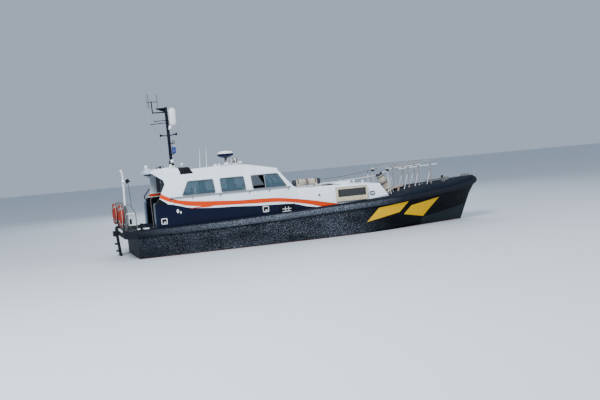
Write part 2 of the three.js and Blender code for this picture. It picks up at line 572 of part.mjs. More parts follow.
// Mast: round pole on a pedestal, with a top plate, a bent aerial arm and two yards.
const MAST_TOP_Z = 5380;
const REFLECTOR = { x: MAST_X + 196, foot: 4680 };
const REFLECTOR_PROFILE = [[0, 0], [60, 0], [110, 50], [138, 110], [138, 560], [110, 620], [60, 660], [0, 660]];
const reflectorShape = (grow) => turned(
  REFLECTOR_PROFILE.map(([r, h]) => [r && r + grow, h]), [REFLECTOR.x, 0, REFLECTOR.foot], 18,
);
const mast = cut(join(
  turned([[0, -195], [130, -195], [130, 14], [115, 74], [80, 174], [70, 249], [0, 249]], [MAST_X, 0, MAST_FOOT_Z], 16),
  rod([MAST_X, 0, MAST_FOOT_Z + 200], [MAST_X - 20, 0, MAST_TOP_Z], 52, 14),
  block(MAST_X - 380, MAST_X, -60, 60, 5320, 5345),
  rod([MAST_X - 20, 0, 5190], [-5480, 0, 5195], 22),
  rod([-5480, 0, 5175], [-5495, 0, 5630], 22),
  rod([-5640, 0, 5600], [-5250, 0, 5600], 12),
  rod([-5600, 0, 5350], [-5600, 0, 5900], 9),
  rod([-5275, 0, 5380], [-5275, 0, 5890], 9),
  rod([MAST_X, 0, 4890], [-5460, 0, 4880], 14),
  rod([MAST_X, 0, 4800], [-5610, 0, 4775], 14),
  rod([MAST_X + 20, 0, 4020], [MAST_X + 170, 0, 4020], 16),
  rod([MAST_X + 155, 0, 4000], [MAST_X + 155, 0, 4110], 45, 12),
  rod([MAST_X + 20, 0, 3580], [MAST_X + 150, 0, 3650], 20),
  rod([MAST_X + 150, 0, 3640], [MAST_X + 150, 0, 3870], 68, 14),
  rod([MAST_X, 0, 4310], [MAST_X - 190, 90, 4330], 18),
  rod([MAST_X, 0, 4310], [MAST_X + 180, -90, 4340], 18),
  ...[4830, 5190].map((z) => block(MAST_X, REFLECTOR.x, -25, 25, z - 15, z + 15)),
), reflectorShape(GAP), roofBody.translate([0, 0, GAP]));
const radarReflector = reflectorShape(0);

const RADOME_PROFILE = [
  [0, -20], [90, -20], [90, 14], [48, 20], [44, 255], [200, 290], [300, 345], [306, 400], [300, 450], [240, 500], [120, 524], [0, 530],
];
const radome = cut(turned(RADOME_PROFILE, [-2880, 0, 3042], 28), roofBody.translate([0, 0, GAP]));

const searchlight = join(
  turned([[0, 0], [34, 0], [34, 34], [0, 34]], [SEARCHLIGHT.x, SEARCHLIGHT.y, SEARCHLIGHT.z + GAP], 12),
  rod([SEARCHLIGHT.x - 90, SEARCHLIGHT.y, 3180], [SEARCHLIGHT.x + 95, SEARCHLIGHT.y, 3180], 82, 16),
  rod([SEARCHLIGHT.x, SEARCHLIGHT.y, 3110], [SEARCHLIGHT.x, SEARCHLIGHT.y, 3160], 20, 10),
);

// Roof vent: a low black box with sloping ends, just forward of the raised part.
const roofVent = cut(
  acrossBoat([[-4880, 2935], [-4130, 2935], [-4200, 2990], [-4480, 3060], [-4880, 3075]], -1380, -500),
  roofBody.translate([0, 0, GAP]),
);

// Life raft canisters: round-ended barrels with three straps.
function raftProfile(length, radius) {
  const strap = radius + 7;
  return [
    [0, 0], [radius * 0.72, 0], [radius * 0.94, 26], [radius, 70], [radius, 180], [strap, 184], [strap, 214], [radius, 218],
    [radius, length / 2 - 18], [strap, length / 2 - 15], [strap, length / 2 + 15], [radius, length / 2 + 18],
    [radius, length - 218], [strap, length - 214], [strap, length - 184], [radius, length - 180],
    [radius, length - 70], [radius * 0.94, length - 26], [radius * 0.72, length], [0, length],
  ];
}
const RAFT = { length: 1100, radius: 126, leanLength: 900, leanRadius: 140 };
const trunkRaised = trunkBody(0).translate([0, 0, GAP]);
const liferaftTop = cut(
  join(
    turned(raftProfile(RAFT.length, RAFT.radius), [-450, -450, 2112], 16, [0, Math.PI / 2, 0]),
    block(-300, -220, -600, -300, 1900, 2080),
    block(420, 500, -600, -300, 1900, 2080),
  ),
  trunkRaised,
);
const RAFT_LEAN = 0.49;
const liferaftForward = cut(
  turned(raftProfile(RAFT.leanLength, RAFT.leanRadius), [3545, -380, 1405], 16, [0, -RAFT_LEAN, 0]),
  hullRaised, trunkBody(0).translate([GAP * 2, 0, GAP]),
);

// Guard rails on the foredeck, with raking struts. [post x, foot y, rail y]
const FORE_POSTS = [3760, 4230, 4680, 5190];
const railZ = (x) => 2440 + (x - 3760) * 0.045;
const RAIL_Y = 780;
const POST_FOOT_Z = 1380;
function foreRail(sign) {
  const y = RAIL_Y * sign;
  const places = sign > 0 ? FORE_POSTS.slice(1) : FORE_POSTS;
  const aft = places[0];
  const fore = places[places.length - 1];
  const posts = places.map((x) => rod([x, y, POST_FOOT_Z], [x, y, railZ(x)], 15));
  const feet = places.map((x) => turned([[0, 0], [48, 0], [48, 200], [0, 200]], [x, y, POST_FOOT_Z], 10));
  const struts = FORE_POSTS.slice(1).map((x) => rod([x, y, railZ(x) - 290], [x - 280, y + 60 * sign, POST_FOOT_Z], 15));
  const upper = rod([aft, y, railZ(aft)], [fore, y, railZ(fore)], 17);
  const lower = rod([aft - 20, y, railZ(aft) - 160], [5480, y, railZ(5480) - 165], 24);
  return [...posts, ...feet, ...struts, upper, lower];
}
// The port rail runs on aft over the trunk cabin: a thick lower bar and a thin upper one, as [x, y, z].
const TRUNK_RAIL_Y = 1330;
const TRUNK_LOWER_BAR = [
  [1000, TRUNK_RAIL_Y, 1895], [1120, TRUNK_RAIL_Y, 1925], [2170, TRUNK_RAIL_Y, 1965], [3320, 1260, 2030],
  [3700, 1130, 2075], [4210, RAIL_Y, railZ(4230) - 160],
];
const TRUNK_UPPER_BAR = [
  [-350, TRUNK_RAIL_Y, 2060], [790, TRUNK_RAIL_Y, 2100], [2080, TRUNK_RAIL_Y, 2145], [3440, 1240, 2300],
  [4230, RAIL_Y, railZ(4230)],
];
// [x, y, foot z, top z]
const TRUNK_STANCHIONS = [
  [-350, TRUNK_RAIL_Y, 1895, 2060], [900, TRUNK_RAIL_Y, 1870, 2103], [2100, TRUNK_RAIL_Y, 1810, 2146], [3300, 1260, 1240, 2278],
];
function trunkRail() {
  return [
    bentTube(TRUNK_LOWER_BAR, 22, 16),
    bentTube(TRUNK_UPPER_BAR, 12, 16),
    ...TRUNK_STANCHIONS.map(([x, y, foot, top]) => rod([x, y, foot], [x, y, top], 14)),
  ];
}
const guardRail = (sign) => cut(
  join(...foreRail(sign), ...(sign > 0 ? trunkRail() : [])), hullWithHatch.translate([0, 0, GAP]), trunkRaised,
);

// Grab rails along the house sides, carried on short arms.
const GRAB_ARMS = [-5300, -4550, -3550, -2450, -1700, -980];
const wallSkin = wallOuter.scale([1, 1 + GAP / HOUSE_HALF, 1]);
function grabRail(sign) {
  const z = 2035;
  const y = (halfAt(z) + 62) * sign;
  return cut(join(
    rod([-5400, y, z], [-880, y, z + 10], 21),
    ...GRAB_ARMS.map((x) => join(
      rod([x, y, z], [x, y - 42 * sign, z - 110], 12),
      rod([x, y - 36 * sign, z - 105], [x, y - 66 * sign, z - 105], 20),
    )),
  ), wallSkin);
}

// Deck lamps on braced posts just ahead of the trunk cabin.
const lampPost = (sign) => {
  const [x, y, foot, head] = [3340, 790 * sign, 1290, 2330];
  return cut(join(
    rod([x, y, foot], [x, y, head], 16),
    rod([x + 230, y, foot], [x, y, 2170], 11),
    rod([x, y + 260 * sign, foot], [x, y, 2170], 11),
    rod([x - 55, y, head], [x + 55, y, head], 62, 12),
  ), hullRaised);
};

// Anchor stowed on the foredeck, and mooring bitts.
const anchor = cut(join(
  rod([5350, -260, 1700], [6050, -260, 1760], 22),
  acrossBoat([[5930, 1600], [6120, 1640], [6150, 1780], [6050, 1800]], -420, -100),
  block(5330, 5430, -320, -200, 1500, 1730),
  block(5960, 6040, -300, -220, 1500, 1770),
), hullRaised);
function bitt(x, y, foot, height) {
  return cut(join(
    rod([x, y, foot - 60], [x, y, foot + height], 45, 14),
    rod([x, y - 150, foot + height - 90], [x, y + 150, foot + height - 90], 24, 10),
    block(x - 90, x + 90, y - 90, y + 90, foot - 60, foot + 14),
  ), hullRaised, sternPlatform.translate([0, 0, GAP]));
}
const bowBitt = bitt(6180, 260, 1640, 200);
const sternBitts = [['port', 1780], ['starboard', -1780]].map(([side, y]) => [`stern_bitt_${side}`, bitt(-6480, y, DECK_AFT_Z, 230)]);

// Stern rail: hoops across the platform, with the light pole on its starboard end.
const sternRail = cut(join(
  ...[-1500, -750, 0, 750, 1500].map((y) => rod([-7000, y, 1000], [-7000, y, 1960], 17)),
  rod([-7000, -1500, 1960], [-7000, 1500, 1960], 17),
  rod([-7000, -1500, 1620], [-7000, 1500, 1620], 14),
  ...[-1500, 1500].map((y) => join(
    rod([-7000, y, 1960], [-6790, y, 1940], 17),
    rod([-6790, y, 1955], [-6610, y, 1640], 17),
    rod([-6610, y, 1660], [-6600, y, 1000], 17),
    rod([-7000, y, 1620], [-6610, y, 1620], 14),
  )),
  rod([-6900, -1500, 1600], [-6900, -1500, 1950], 20),
  bentTube([[-6905, -1500, 1600], [-6890, -1500, 2700], [-6960, -1500, 3200]], 36, 8),
  rod([-6890, -1500, 2775], [-6740, -1500, 2780], 14),
  rod([-6750, -1500, 2715], [-6750, -1500, 2815], 48, 12),
), sternPlatform.translate([0, 0, GAP]), hullRaised);

// Lifebuoys hang on the after side of the stern rail.
const BUOY = { x: -7090.3, y: 1200, z: 1600, radius: 298, tube: 75 };
const lifebuoy = (y) => {
  const ring = new THREE.TorusGeometry(BUOY.radius, BUOY.tube, 8, 22);
  ring.rotateY(Math.PI / 2);
  ring.translate(BUOY.x, y, BUOY.z);
  return ring;
};

// Stern ladder, hooked over the platform's after edge: two deep stiles with treads carried aft of them.
const LADDER = { y: 500, half: 190, thick: 20, top: 1080, foot: -370, hookZ: 1055, bracketZ: 850 };
const LADDER_STILE = [
  [-7190, LADDER.top], [-7115, LADDER.top], [-7115, 740], [-7010, LADDER.foot], [-7100, LADDER.foot], [-7190, 740],
];
// [after edge x, z of the top, thickness]
const LADDER_TREADS = [[-7300, 935, 190], [-7270, 480, 45], [-7240, 215, 45], [-7205, -40, 45], [-7175, -290, 45]];
const ladder = join(
  ...[-LADDER.half, LADDER.half].map((dy) => {
    const y = LADDER.y + dy;
    return join(
      acrossBoat(LADDER_STILE, y - LADDER.thick, y + LADDER.thick),
      rod([-7150, y, LADDER.hookZ], [PLATFORM_X + 60, y, LADDER.hookZ], 20),
      block(PLATFORM_X + 25, PLATFORM_X + 75, y - 20, y + 20, DECK_AFT_Z + GAP, LADDER.hookZ),
      rod([-7150, y, LADDER.bracketZ], [PLATFORM_X - GAP, y, LADDER.bracketZ], 20),
    );
  }),
  ...LADDER_TREADS.map(([x, z, thick]) => block(
    x, x + 150, LADDER.y - LADDER.half - 5, LADDER.y + LADDER.half + 5, z - thick, z,
  )),
);

// Running gear below the water on each side.
const PROP = { x: -6130, z: -770, hub: 62 };
const shaftLean = 0.13;
function propeller() {
  const blades = [0, 1, 2, 3].map((i) => {
    const outline = new THREE.Shape();
    outline.moveTo(-40, 40);
    outline.absellipse(0, 175, 105, 125, 1.25 * Math.PI, -0.25 * Math.PI, true);
    outline.lineTo(40, 40);
    const blade = new THREE.ExtrudeGeometry(outline, { depth: 16, bevelEnabled: false, curveSegments: 10 });
    blade.translate(0, 0, -8);
    blade.rotateY(0.55);
    blade.rotateZ((i * Math.PI) / 2);
    return solidOf(blade);
  });
  const hub = turned([[0, -85], [40, -85], [PROP.hub, -30], [PROP.hub, 70], [0, 70]], [0, 0, 0], 18);
  return join(hub, ...blades);
}
const propellerSolid = propeller();
const placed = (solid, turn, [x, y, z]) => {
  const geometry = geometryOf(solid);
  geometry.applyMatrix4(new THREE.Matrix4().makeRotationFromEuler(turn));
  geometry.translate(x, y, z);
  return geometry;
};
const shaftDirection = [Math.cos(shaftLean), 0, Math.sin(shaftLean)];
const onShaft = (distance) => [PROP.x + shaftDirection[0] * distance, PROP.z + shaftDirection[2] * distance];
function shaft(y) {
  const [x0, z0] = onShaft(70 + GAP);
  const [x1, z1] = onShaft(3300);
  const [xs, zs] = onShaft(230);
  return cut(join(
    rod([x0, y, z0], [x1, y, z1], 28, 12),
    rod([onShaft(120)[0], y, onShaft(120)[1]], [onShaft(330)[0], y, onShaft(330)[1]], 52, 14),
    acrossBoat([[xs - 70, zs], [xs + 70, zs], [xs + 190, 0], [xs + 20, 0]], y - 14, y + 14),
  ), hull.translate([0, 0, -GAP]));
}
function rudder(y) {
  return join(
    acrossBoat([[-6700, -480], [-6370, -480], [-6400, -1070], [-6640, -1040]], y - RUDDER.halfThick, y + RUDDER.halfThick),
    rod([RUDDER.x, y, -600], [RUDDER.x, y, RUDDER.bossZ - GAP], 32, 14),
  );
}

addPiece('hull', hullWithHatch, BLACK_HULL);
addPiece('keel_skeg', keelSkeg, BLACK_HULL);
addPiece('fender_belt', fenderBelt, BLACK_RUBBER);
addPiece('stern_platform', sternPlatform, BLACK_RUBBER);
addPiece('wheelhouse', wheelhouse, WHITE);
addPiece('wheelhouse_roof', wheelhouseRoof, WHITE);
addPiece('trunk_cabin', trunkCabin, WHITE);
for (const [name, solid] of [...sidePanes, ...screenPanes]) {
  addPiece(name, solid, GLASS);
}
addPiece('cabin_door', cabinDoor, NAVY);
addPiece('trunk_hatch', trunkHatch, WHITE);
addPiece('foredeck_hatch', foredeckHatch, CREAM);
addPiece('helm_console', helmConsole, VINYL);
addPiece('helm_wheel', helmWheelGeometry, BLACK_RUBBER);
for (const [name, solid] of seats) {
  addPiece(name, solid, VINYL);
}
addPiece('mast', mast, BLACK_PAINT);
addPiece('radar_reflector', radarReflector, WHITE);
addPiece('radome', radome, WHITE);
addPiece('searchlight', searchlight, WHITE);
addPiece('roof_vent', roofVent, BLACK_PAINT);
addPiece('liferaft_top', liferaftTop, CREAM);
addPiece('liferaft_forward', liferaftForward, CREAM);
for (const [side, sign] of [['port', 1], ['starboard', -1]]) {
  addPiece(`guard_rail_${side}`, guardRail(sign), STEEL);
  addPiece(`grab_rail_${side}`, grabRail(sign), STEEL);
  addPiece(`louvre_${side}`, louvre(sign), CREAM);
  addPiece(`deck_lamp_${side}`, lampPost(sign), STEEL);
  addPiece(`lifebuoy_${side}`, lifebuoy(BUOY.y * sign), ORANGE);
  addPiece(`shaft_${side}`, shaft(SHAFT_Y * sign), STEEL);
  addPiece(`rudder_${side}`, rudder(SHAFT_Y * sign), BLACK_HULL);
  addPiece(`propeller_${side}`, placed(
    propellerSolid, new THREE.Euler(0, Math.PI / 2 - shaftLean, 0), [PROP.x, SHAFT_Y * sign, PROP.z],
  ), BRONZE);
}
addPiece('anchor', anchor, STEEL);
addPiece('bow_bitt', bowBitt, BLACK_PAINT);
for (const [name, solid] of sternBitts) {
  addPiece(name, solid, BLACK_PAINT);
}
addPiece('stern_rail', sternRail, STEEL);
addPiece('stern_ladder', ladder, BLACK_PAINT);

export default root;
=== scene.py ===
import math

import bmesh
import bpy
from mathutils import Euler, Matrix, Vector
from mathutils.bvhtree import BVHTree


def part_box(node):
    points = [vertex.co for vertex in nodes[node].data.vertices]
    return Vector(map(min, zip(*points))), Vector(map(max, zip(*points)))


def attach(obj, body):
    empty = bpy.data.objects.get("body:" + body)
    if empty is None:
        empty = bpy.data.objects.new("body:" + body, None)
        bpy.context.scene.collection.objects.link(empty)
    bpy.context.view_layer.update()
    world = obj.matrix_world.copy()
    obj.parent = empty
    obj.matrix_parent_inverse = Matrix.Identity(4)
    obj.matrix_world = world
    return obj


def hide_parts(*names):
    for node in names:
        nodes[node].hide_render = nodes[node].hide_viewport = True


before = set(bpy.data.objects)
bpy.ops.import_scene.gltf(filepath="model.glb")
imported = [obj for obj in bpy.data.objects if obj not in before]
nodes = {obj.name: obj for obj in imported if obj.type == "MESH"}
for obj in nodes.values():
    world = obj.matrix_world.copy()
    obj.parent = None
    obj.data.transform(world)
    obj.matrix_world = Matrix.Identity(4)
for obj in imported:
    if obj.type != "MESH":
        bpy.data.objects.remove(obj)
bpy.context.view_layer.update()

# The boat is seen from well off its starboard side, abaft the beam, a little above the wheelhouse windows.
# It floats level here, so the camera takes up the lift of its bow and the lean of the picture.
CAMERA_AT = (-9.972, -33.695, 3.139)
CAMERA_TURN = (87.189, 4.980, -16.606)    # degrees about X, Y and Z
LENS = 54
camera = bpy.data.objects.new("camera", bpy.data.cameras.new("camera"))
camera.data.lens = LENS
camera.location = CAMERA_AT
camera.rotation_euler = Euler([math.radians(turn) for turn in CAMERA_TURN])
bpy.context.scene.collection.objects.link(camera)
bpy.context.scene.camera = camera

# The floor stands for flat water at the boat's waterline, pale and dull, and soft lights hang round it.
# A broad key light falls on the starboard side and a weaker one fills the port side and the stern.
FLOOR_HALF = 150.0
floor_mesh = bpy.data.meshes.new("floor")
floor_corners = [(x * FLOOR_HALF, y * FLOOR_HALF, 0) for x, y in ((-1, -1), (1, -1), (1, 1), (-1, 1))]
floor_mesh.from_pydata(floor_corners, [], [(0, 1, 2, 3)])
floor = bpy.data.objects.new("floor", floor_mesh)
bpy.context.scene.collection.objects.link(floor)
floor_finish = bpy.data.materials.new("floor_pale_grey")
floor_finish.use_nodes = True
floor_shader = floor_finish.node_tree.nodes["Principled BSDF"]
floor_shader.inputs["Base Color"].default_value = (0.62, 0.66, 0.70, 1)
floor_shader.inputs["Roughness"].default_value = 0.65
floor_mesh.materials.append(floor_finish)

sky = bpy.data.worlds.new("sky")
sky.use_nodes = True
sky_light = sky.node_tree.nodes["Background"]
sky_light.inputs["Color"].default_value = (0.66, 0.80, 1.0, 1)
sky_light.inputs["Strength"].default_value = 0.60
bpy.context.scene.world = sky

# Each light: name, place, size in metres, watts, colour
LIGHTS = [
    ("key", (-16, -26, 22), 12, 16500, (0.95, 0.98, 1.0)),
    ("bow_fill", (22, -16, 14), 14, 3000, (0.92, 0.96, 1.0)),
    ("port_fill", (4, 26, 16), 16, 3200, (0.92, 0.96, 1.0)),
]
LIT_POINT = Vector((0, 0, 1))             # all of them are aimed at the middle of the boat
for name, place, size, watts, colour in LIGHTS:
    lamp = bpy.data.lights.new(name, "AREA")
    lamp.size = size
    lamp.energy = watts
    lamp.color = colour
    holder = bpy.data.objects.new(name, lamp)
    holder.location = place
    holder.rotation_euler = (LIT_POINT - Vector(place)).to_track_quat("-Z", "Y").to_euler()
    bpy.context.scene.collection.objects.link(holder)


# Hull: a hard-chined planing hull with a rounded whaleback foredeck, moulded in glass-reinforced plastic.
# Its topsides are black paint that spray and salt have spotted, with two yellow bands at each bow.
# The deck is grey non-slip paint, and below the waterline the bottom has dull red antifouling.
class Finish:
    """A material that is laid on in coats: a base, then a colour wherever a mask is 1."""

    def __init__(self, name, colour, rough, metal=0.0, shine=0.5):
        self.material = bpy.data.materials.new(name)
        self.material.use_nodes = True
        self.tree = self.material.node_tree
        self.shader = self.tree.nodes["Principled BSDF"]
        self.shader.inputs["Base Color"].default_value = (*colour, 1)
        self.shader.inputs["Roughness"].default_value = rough
        self.shader.inputs["Metallic"].default_value = metal
        self.shader.inputs["Specular IOR Level"].default_value = shine
        self.place = self.tree.nodes.new("ShaderNodeTexCoord").outputs["Object"]
        self.x, self.y, self.z = self.parts_of(self.place)
        self.height = None

    def parts_of(self, vector):
        split = self.tree.nodes.new("ShaderNodeSeparateXYZ")
        self.tree.links.new(vector, split.inputs[0])
        return split.outputs

    def put(self, socket, value):
        if isinstance(value, (int, float)):
            socket.default_value = value
        else:
            self.tree.links.new(value, socket)

    def sum(self, operation, *values):
        """One step of arithmetic on sockets and numbers."""
        step = self.tree.nodes.new("ShaderNodeMath")
        step.operation = operation
        for socket, value in zip(step.inputs, values):
            self.put(socket, value)
        return step.outputs[0]

    def fade(self, value, start, end):
        """A mask that goes from 0 at start to 1 at end."""
        step = self.tree.nodes.new("ShaderNodeMapRange")
        self.put(step.inputs["Value"], value)
        step.inputs["From Min"].default_value = start
        step.inputs["From Max"].default_value = end
        return step.outputs["Result"]

    def both(self, first, *others):
        for other in others:
            first = self.sum("MULTIPLY", first, other)
        return first

    def flip(self, mask):
        return self.sum("SUBTRACT", 1.0, mask)

    def above(self, value, limit):
        return self.sum("GREATER_THAN", value, limit)

    def below(self, value, limit):
        return self.sum("LESS_THAN", value, limit)

    def near(self, value, middle, reach):
        return self.sum("COMPARE", value, middle, reach)

    def facing(self, axis):
        """How far the surface faces along an axis of the boat, 0 to 2 for X to Z."""
        geometry = self.tree.nodes.new("ShaderNodeNewGeometry")
        turned = self.tree.nodes.new("ShaderNodeVectorTransform")
        turned.vector_type = "NORMAL"
        turned.convert_from = "WORLD"
        turned.convert_to = "OBJECT"
        self.tree.links.new(geometry.outputs["Normal"], turned.inputs[0])
        return self.parts_of(turned.outputs[0])[axis]

    def noise(self, scale, detail=4.0, stretch=(1, 1, 1)):
        mapping = self.tree.nodes.new("ShaderNodeMapping")
        mapping.inputs["Scale"].default_value = stretch
        self.tree.links.new(self.place, mapping.inputs[0])
        pattern = self.tree.nodes.new("ShaderNodeTexNoise")
        pattern.inputs["Scale"].default_value = scale
        pattern.inputs["Detail"].default_value = detail
        self.tree.links.new(mapping.outputs[0], pattern.inputs["Vector"])
        return pattern.outputs["Fac"]

    def coat(self, mask, colour):
        """Lay a colour over what is there, as far as the mask says."""
        mix = self.tree.nodes.new("ShaderNodeMix")
        mix.data_type = "RGBA"
        self.put(mix.inputs[0], mask)
        mix.inputs[7].default_value = (*colour, 1)
        base = self.shader.inputs["Base Color"]
        if base.is_linked:
            self.tree.links.new(base.links[0].from_socket, mix.inputs[6])
        else:
            mix.inputs[6].default_value = base.default_value
        self.tree.links.new(mix.outputs[2], base)
        return self

    def rough(self, mask, low, high):
        step = self.tree.nodes.new("ShaderNodeMapRange")
        self.put(step.inputs["Value"], mask)
        step.inputs["To Min"].default_value = low
        step.inputs["To Max"].default_value = high
        self.tree.links.new(step.outputs["Result"], self.shader.inputs["Roughness"])
        return self

    def bump(self, height, distance):
        """Raise the surface by the height, a pattern from 0 to 1, times a distance in metres."""
        step = self.tree.nodes.new("ShaderNodeBump")
        step.inputs["Distance"].default_value = distance
        self.put(step.inputs["Height"], height)
        normal = self.shader.inputs["Normal"]
        if normal.is_linked:
            self.tree.links.new(normal.links[0].from_socket, step.inputs["Normal"])
        self.tree.links.new(step.outputs[0], normal)
        return self

    def stained(self, grain, start, end, share, colour):
        """Lay a colour on in patches. The grain is a noise's scale and detail, and its stretch if any."""
        return self.coat(self.both(self.fade(self.noise(*grain), start, end), share), colour)

    def worn(self, grain, low, high):
        return self.rough(self.noise(*grain), low, high)

    def grained(self, grain, distance):
        return self.bump(self.noise(*grain), distance)

    def inside(self, corners):
        """A mask over a flat shape seen from the side: its corners are X and Z, anticlockwise."""
        mask = 1.0
        for (x0, z0), (x1, z1) in zip(corners, corners[1:] + corners[:1]):
            long = math.hypot(x1 - x0, z1 - z0)
            nx, nz = (z0 - z1) / long, (x1 - x0) / long
            across = self.sum("MULTIPLY_ADD", self.x, nx, self.sum("MULTIPLY", self.z, nz))
            mask = self.both(self.above(across, nx * x0 + nz * z0), mask)
        return mask

    def over(self, points):
        """A mask over all that lies higher than a line of X and Z points along the boat."""
        curve = self.tree.nodes.new("ShaderNodeFloatCurve")
        x0, x1 = points[0][0], points[-1][0]
        line = curve.mapping.curves[0]
        while len(line.points) < len(points):
            line.points.new(0.5, 0.5)
        for spot, (x, z) in zip(line.points, points):
            spot.location = ((x - x0) / (x1 - x0), z / LINE_TOP)
        curve.mapping.update()
        self.put(curve.inputs["Value"], self.fade(self.x, x0, x1))
        return self.above(self.z, self.sum("MULTIPLY", curve.outputs[0], LINE_TOP))


LINE_TOP = 3.0                # metres that the full height of a painted line's curve stands for
BLACK = (0.0012, 0.0018, 0.0034)
WET_GREY = (0.010, 0.013, 0.020)
SALT = (0.15, 0.17, 0.205)
YELLOW = (0.78, 0.44, 0.0)
DECK_GREY = (0.008, 0.012, 0.021)
ANTIFOULING = (0.12, 0.028, 0.022)
ANTIFOULING_TOP = 0.02
SPRAY_SHARE = 0.95            # how far the dried spray covers the paint under it
# The boot top: a dark grey strip that climbs toward the stem, from an X forward
BOOT_TOP_GREY = (0.018, 0.026, 0.030)
BOOT_TOP_CLIMB, BOOT_TOP_AMIDSHIPS, BOOT_TOP_FROM_X = 0.118, -0.205, 4.55
FACES_UP = 0.35               # least lean at which a skin counts as deck
DECK_LOWEST = 0.9
YELLOW_BANDS = [
    [(1.93, 0.43), (3.34, 0.67), (3.67, 1.05), (2.40, 0.93)],
    [(3.55, 0.56), (4.55, 0.37), (5.14, 1.07), (3.84, 0.88)],
]


def spray_spots(paint):
    """Fine pale spots of dried spray, thickest amidships and thin at the bow and the stern."""
    spots = paint.fade(paint.noise(34, 3), 0.50, 0.64)
    low = paint.fade(paint.z, 1.45, 0.75)
    aft = paint.fade(paint.x, 3.0, 0.9)
    forward = paint.sum("MULTIPLY_ADD", paint.fade(paint.x, -6.5, -2.0), 0.6, 0.4)
    patches = paint.fade(paint.noise(1.3, 4, (0.6, 1, 1.6)), 0.26, 0.56)
    return paint.both(spots, low, aft, forward, patches)


hull_paint = Finish("hull_black_paint", BLACK, 0.38, shine=0.06)
toward_stern = hull_paint.fade(hull_paint.x, 5.6, 0.5)
wet_patches = hull_paint.fade(hull_paint.noise(1.3, 5), 0.30, 0.65)
hull_paint.coat(hull_paint.both(wet_patches, toward_stern), WET_GREY)
for band in YELLOW_BANDS:
    hull_paint.coat(hull_paint.inside(band), YELLOW)
hull_paint.coat(hull_paint.both(spray_spots(hull_paint), SPRAY_SHARE), SALT)
less_climb = hull_paint.sum("MULTIPLY_ADD", hull_paint.x, -BOOT_TOP_CLIMB, hull_paint.z)
under_boot_top = hull_paint.below(less_climb, BOOT_TOP_AMIDSHIPS)
at_bow = hull_paint.above(hull_paint.x, BOOT_TOP_FROM_X)
hull_paint.coat(hull_paint.both(under_boot_top, at_bow), BOOT_TOP_GREY)
faces_up = hull_paint.above(hull_paint.facing(2), FACES_UP)
on_deck = hull_paint.both(faces_up, hull_paint.above(hull_paint.z, DECK_LOWEST))
hull_paint.coat(on_deck, DECK_GREY)
hull_paint.coat(hull_paint.below(hull_paint.z, ANTIFOULING_TOP), ANTIFOULING)
hull_paint.rough(hull_paint.sum("MAXIMUM", hull_paint.noise(9, 5), on_deck), 0.34, 0.85)
hull_paint.bump(hull_paint.both(hull_paint.noise(220, 2), on_deck), 0.004)
hull_paint.grained((0.9, 2), 0.006)


def one_skin():
    """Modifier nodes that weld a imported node's facets and shade them as one skin."""
    group = bpy.data.node_groups.new("one_skin", "GeometryNodeTree")
    for way in ("INPUT", "OUTPUT"):
        group.interface.new_socket("Geometry", in_out=way, socket_type="NodeSocketGeometry")
    steps = [group.nodes.new(kind) for kind in (
        "NodeGroupInput", "GeometryNodeRemoveAttribute", "GeometryNodeMergeByDistance",
        "GeometryNodeSetShadeSmooth", "NodeGroupOutput",
    )]
    steps[1].inputs["Name"].default_value = "custom_normal"
    steps[2].inputs["Distance"].default_value = 0.00005
    for before, after in zip(steps, steps[1:]):
        group.links.new(before.outputs[0], after.inputs[0])
    return group


ONE_SKIN = one_skin()


def keep(name, finish, bevel=0.006, turn=30):
    """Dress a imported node: its facets are shaded as one skin, and its sharp edges are eased or left crisp."""
    node = nodes[name]
    for slot in node.material_slots:
        slot.material = finish.material
    node.modifiers.new("one_skin", "NODES").node_group = ONE_SKIN
    if bevel:
        flat = node.modifiers.new("flat", "DECIMATE")
        flat.decimate_type = "DISSOLVE"
        flat.angle_limit = math.radians(0.4)
        ease = node.modifiers.new("ease", "BEVEL")
        ease.width = bevel
        ease.segments = 2
        ease.limit_method = "ANGLE"
        ease.angle_limit = math.radians(turn)
        ease.use_clamp_overlap = False
        ease.harden_normals = True
    else:
        crisp = node.modifiers.new("crisp", "EDGE_SPLIT")
        crisp.split_angle = math.radians(turn)
    return node


keep("hull", hull_paint, None, turn=24)
keep("keel_skeg", hull_paint, 0.008)

# Fender belt and stern platform: black rubber sections bolted round the deck edge in lengths, and a
# rubber-faced platform carried aft of the transom. Both are dull, scuffed and streaked with salt.
rubber = Finish("fender_black_rubber", (0.006, 0.008, 0.014), 0.72, shine=0.12)
rubber.stained((24, 6), 0.52, 0.8, 0.5, (0.040, 0.045, 0.055))
rubber.stained((2.0, 4, (1, 1, 6)), 0.55, 0.75, 0.25, (0.030, 0.032, 0.040))
amidships = rubber.both(rubber.fade(rubber.x, -6.5, -3.0), rubber.fade(rubber.x, 3.4, 1.2))
rubber.coat(rubber.both(rubber.fade(rubber.noise(34, 3), 0.42, 0.60), amidships, 0.95), SALT)
rubber.worn((14, 5), 0.55, 0.85)
rubber.grained((90, 3), 0.002)
keep("fender_belt", rubber, None, turn=50)
keep("stern_platform", rubber, 0.014)

# House: wheelhouse walls and the low trunk cabin ahead of them, moulded in white plastic.
# A navy side rises from the deck, with a white line over it and an orange stripe that sweeps up aft.
HOUSE_WHITE = (0.75, 0.82, 0.90)
TRUNK_WHITE = (0.86, 0.92, 0.98)
NAVY = (0.0014, 0.0038, 0.018)
ORANGE = (0.62, 0.046, 0.001)
FOOT_GREY = (0.30, 0.28, 0.33)
# The cabin's inner faces and the roof's underside take a dark lining that is painted shade.
SHADED_LINING = (0.022, 0.028, 0.040)
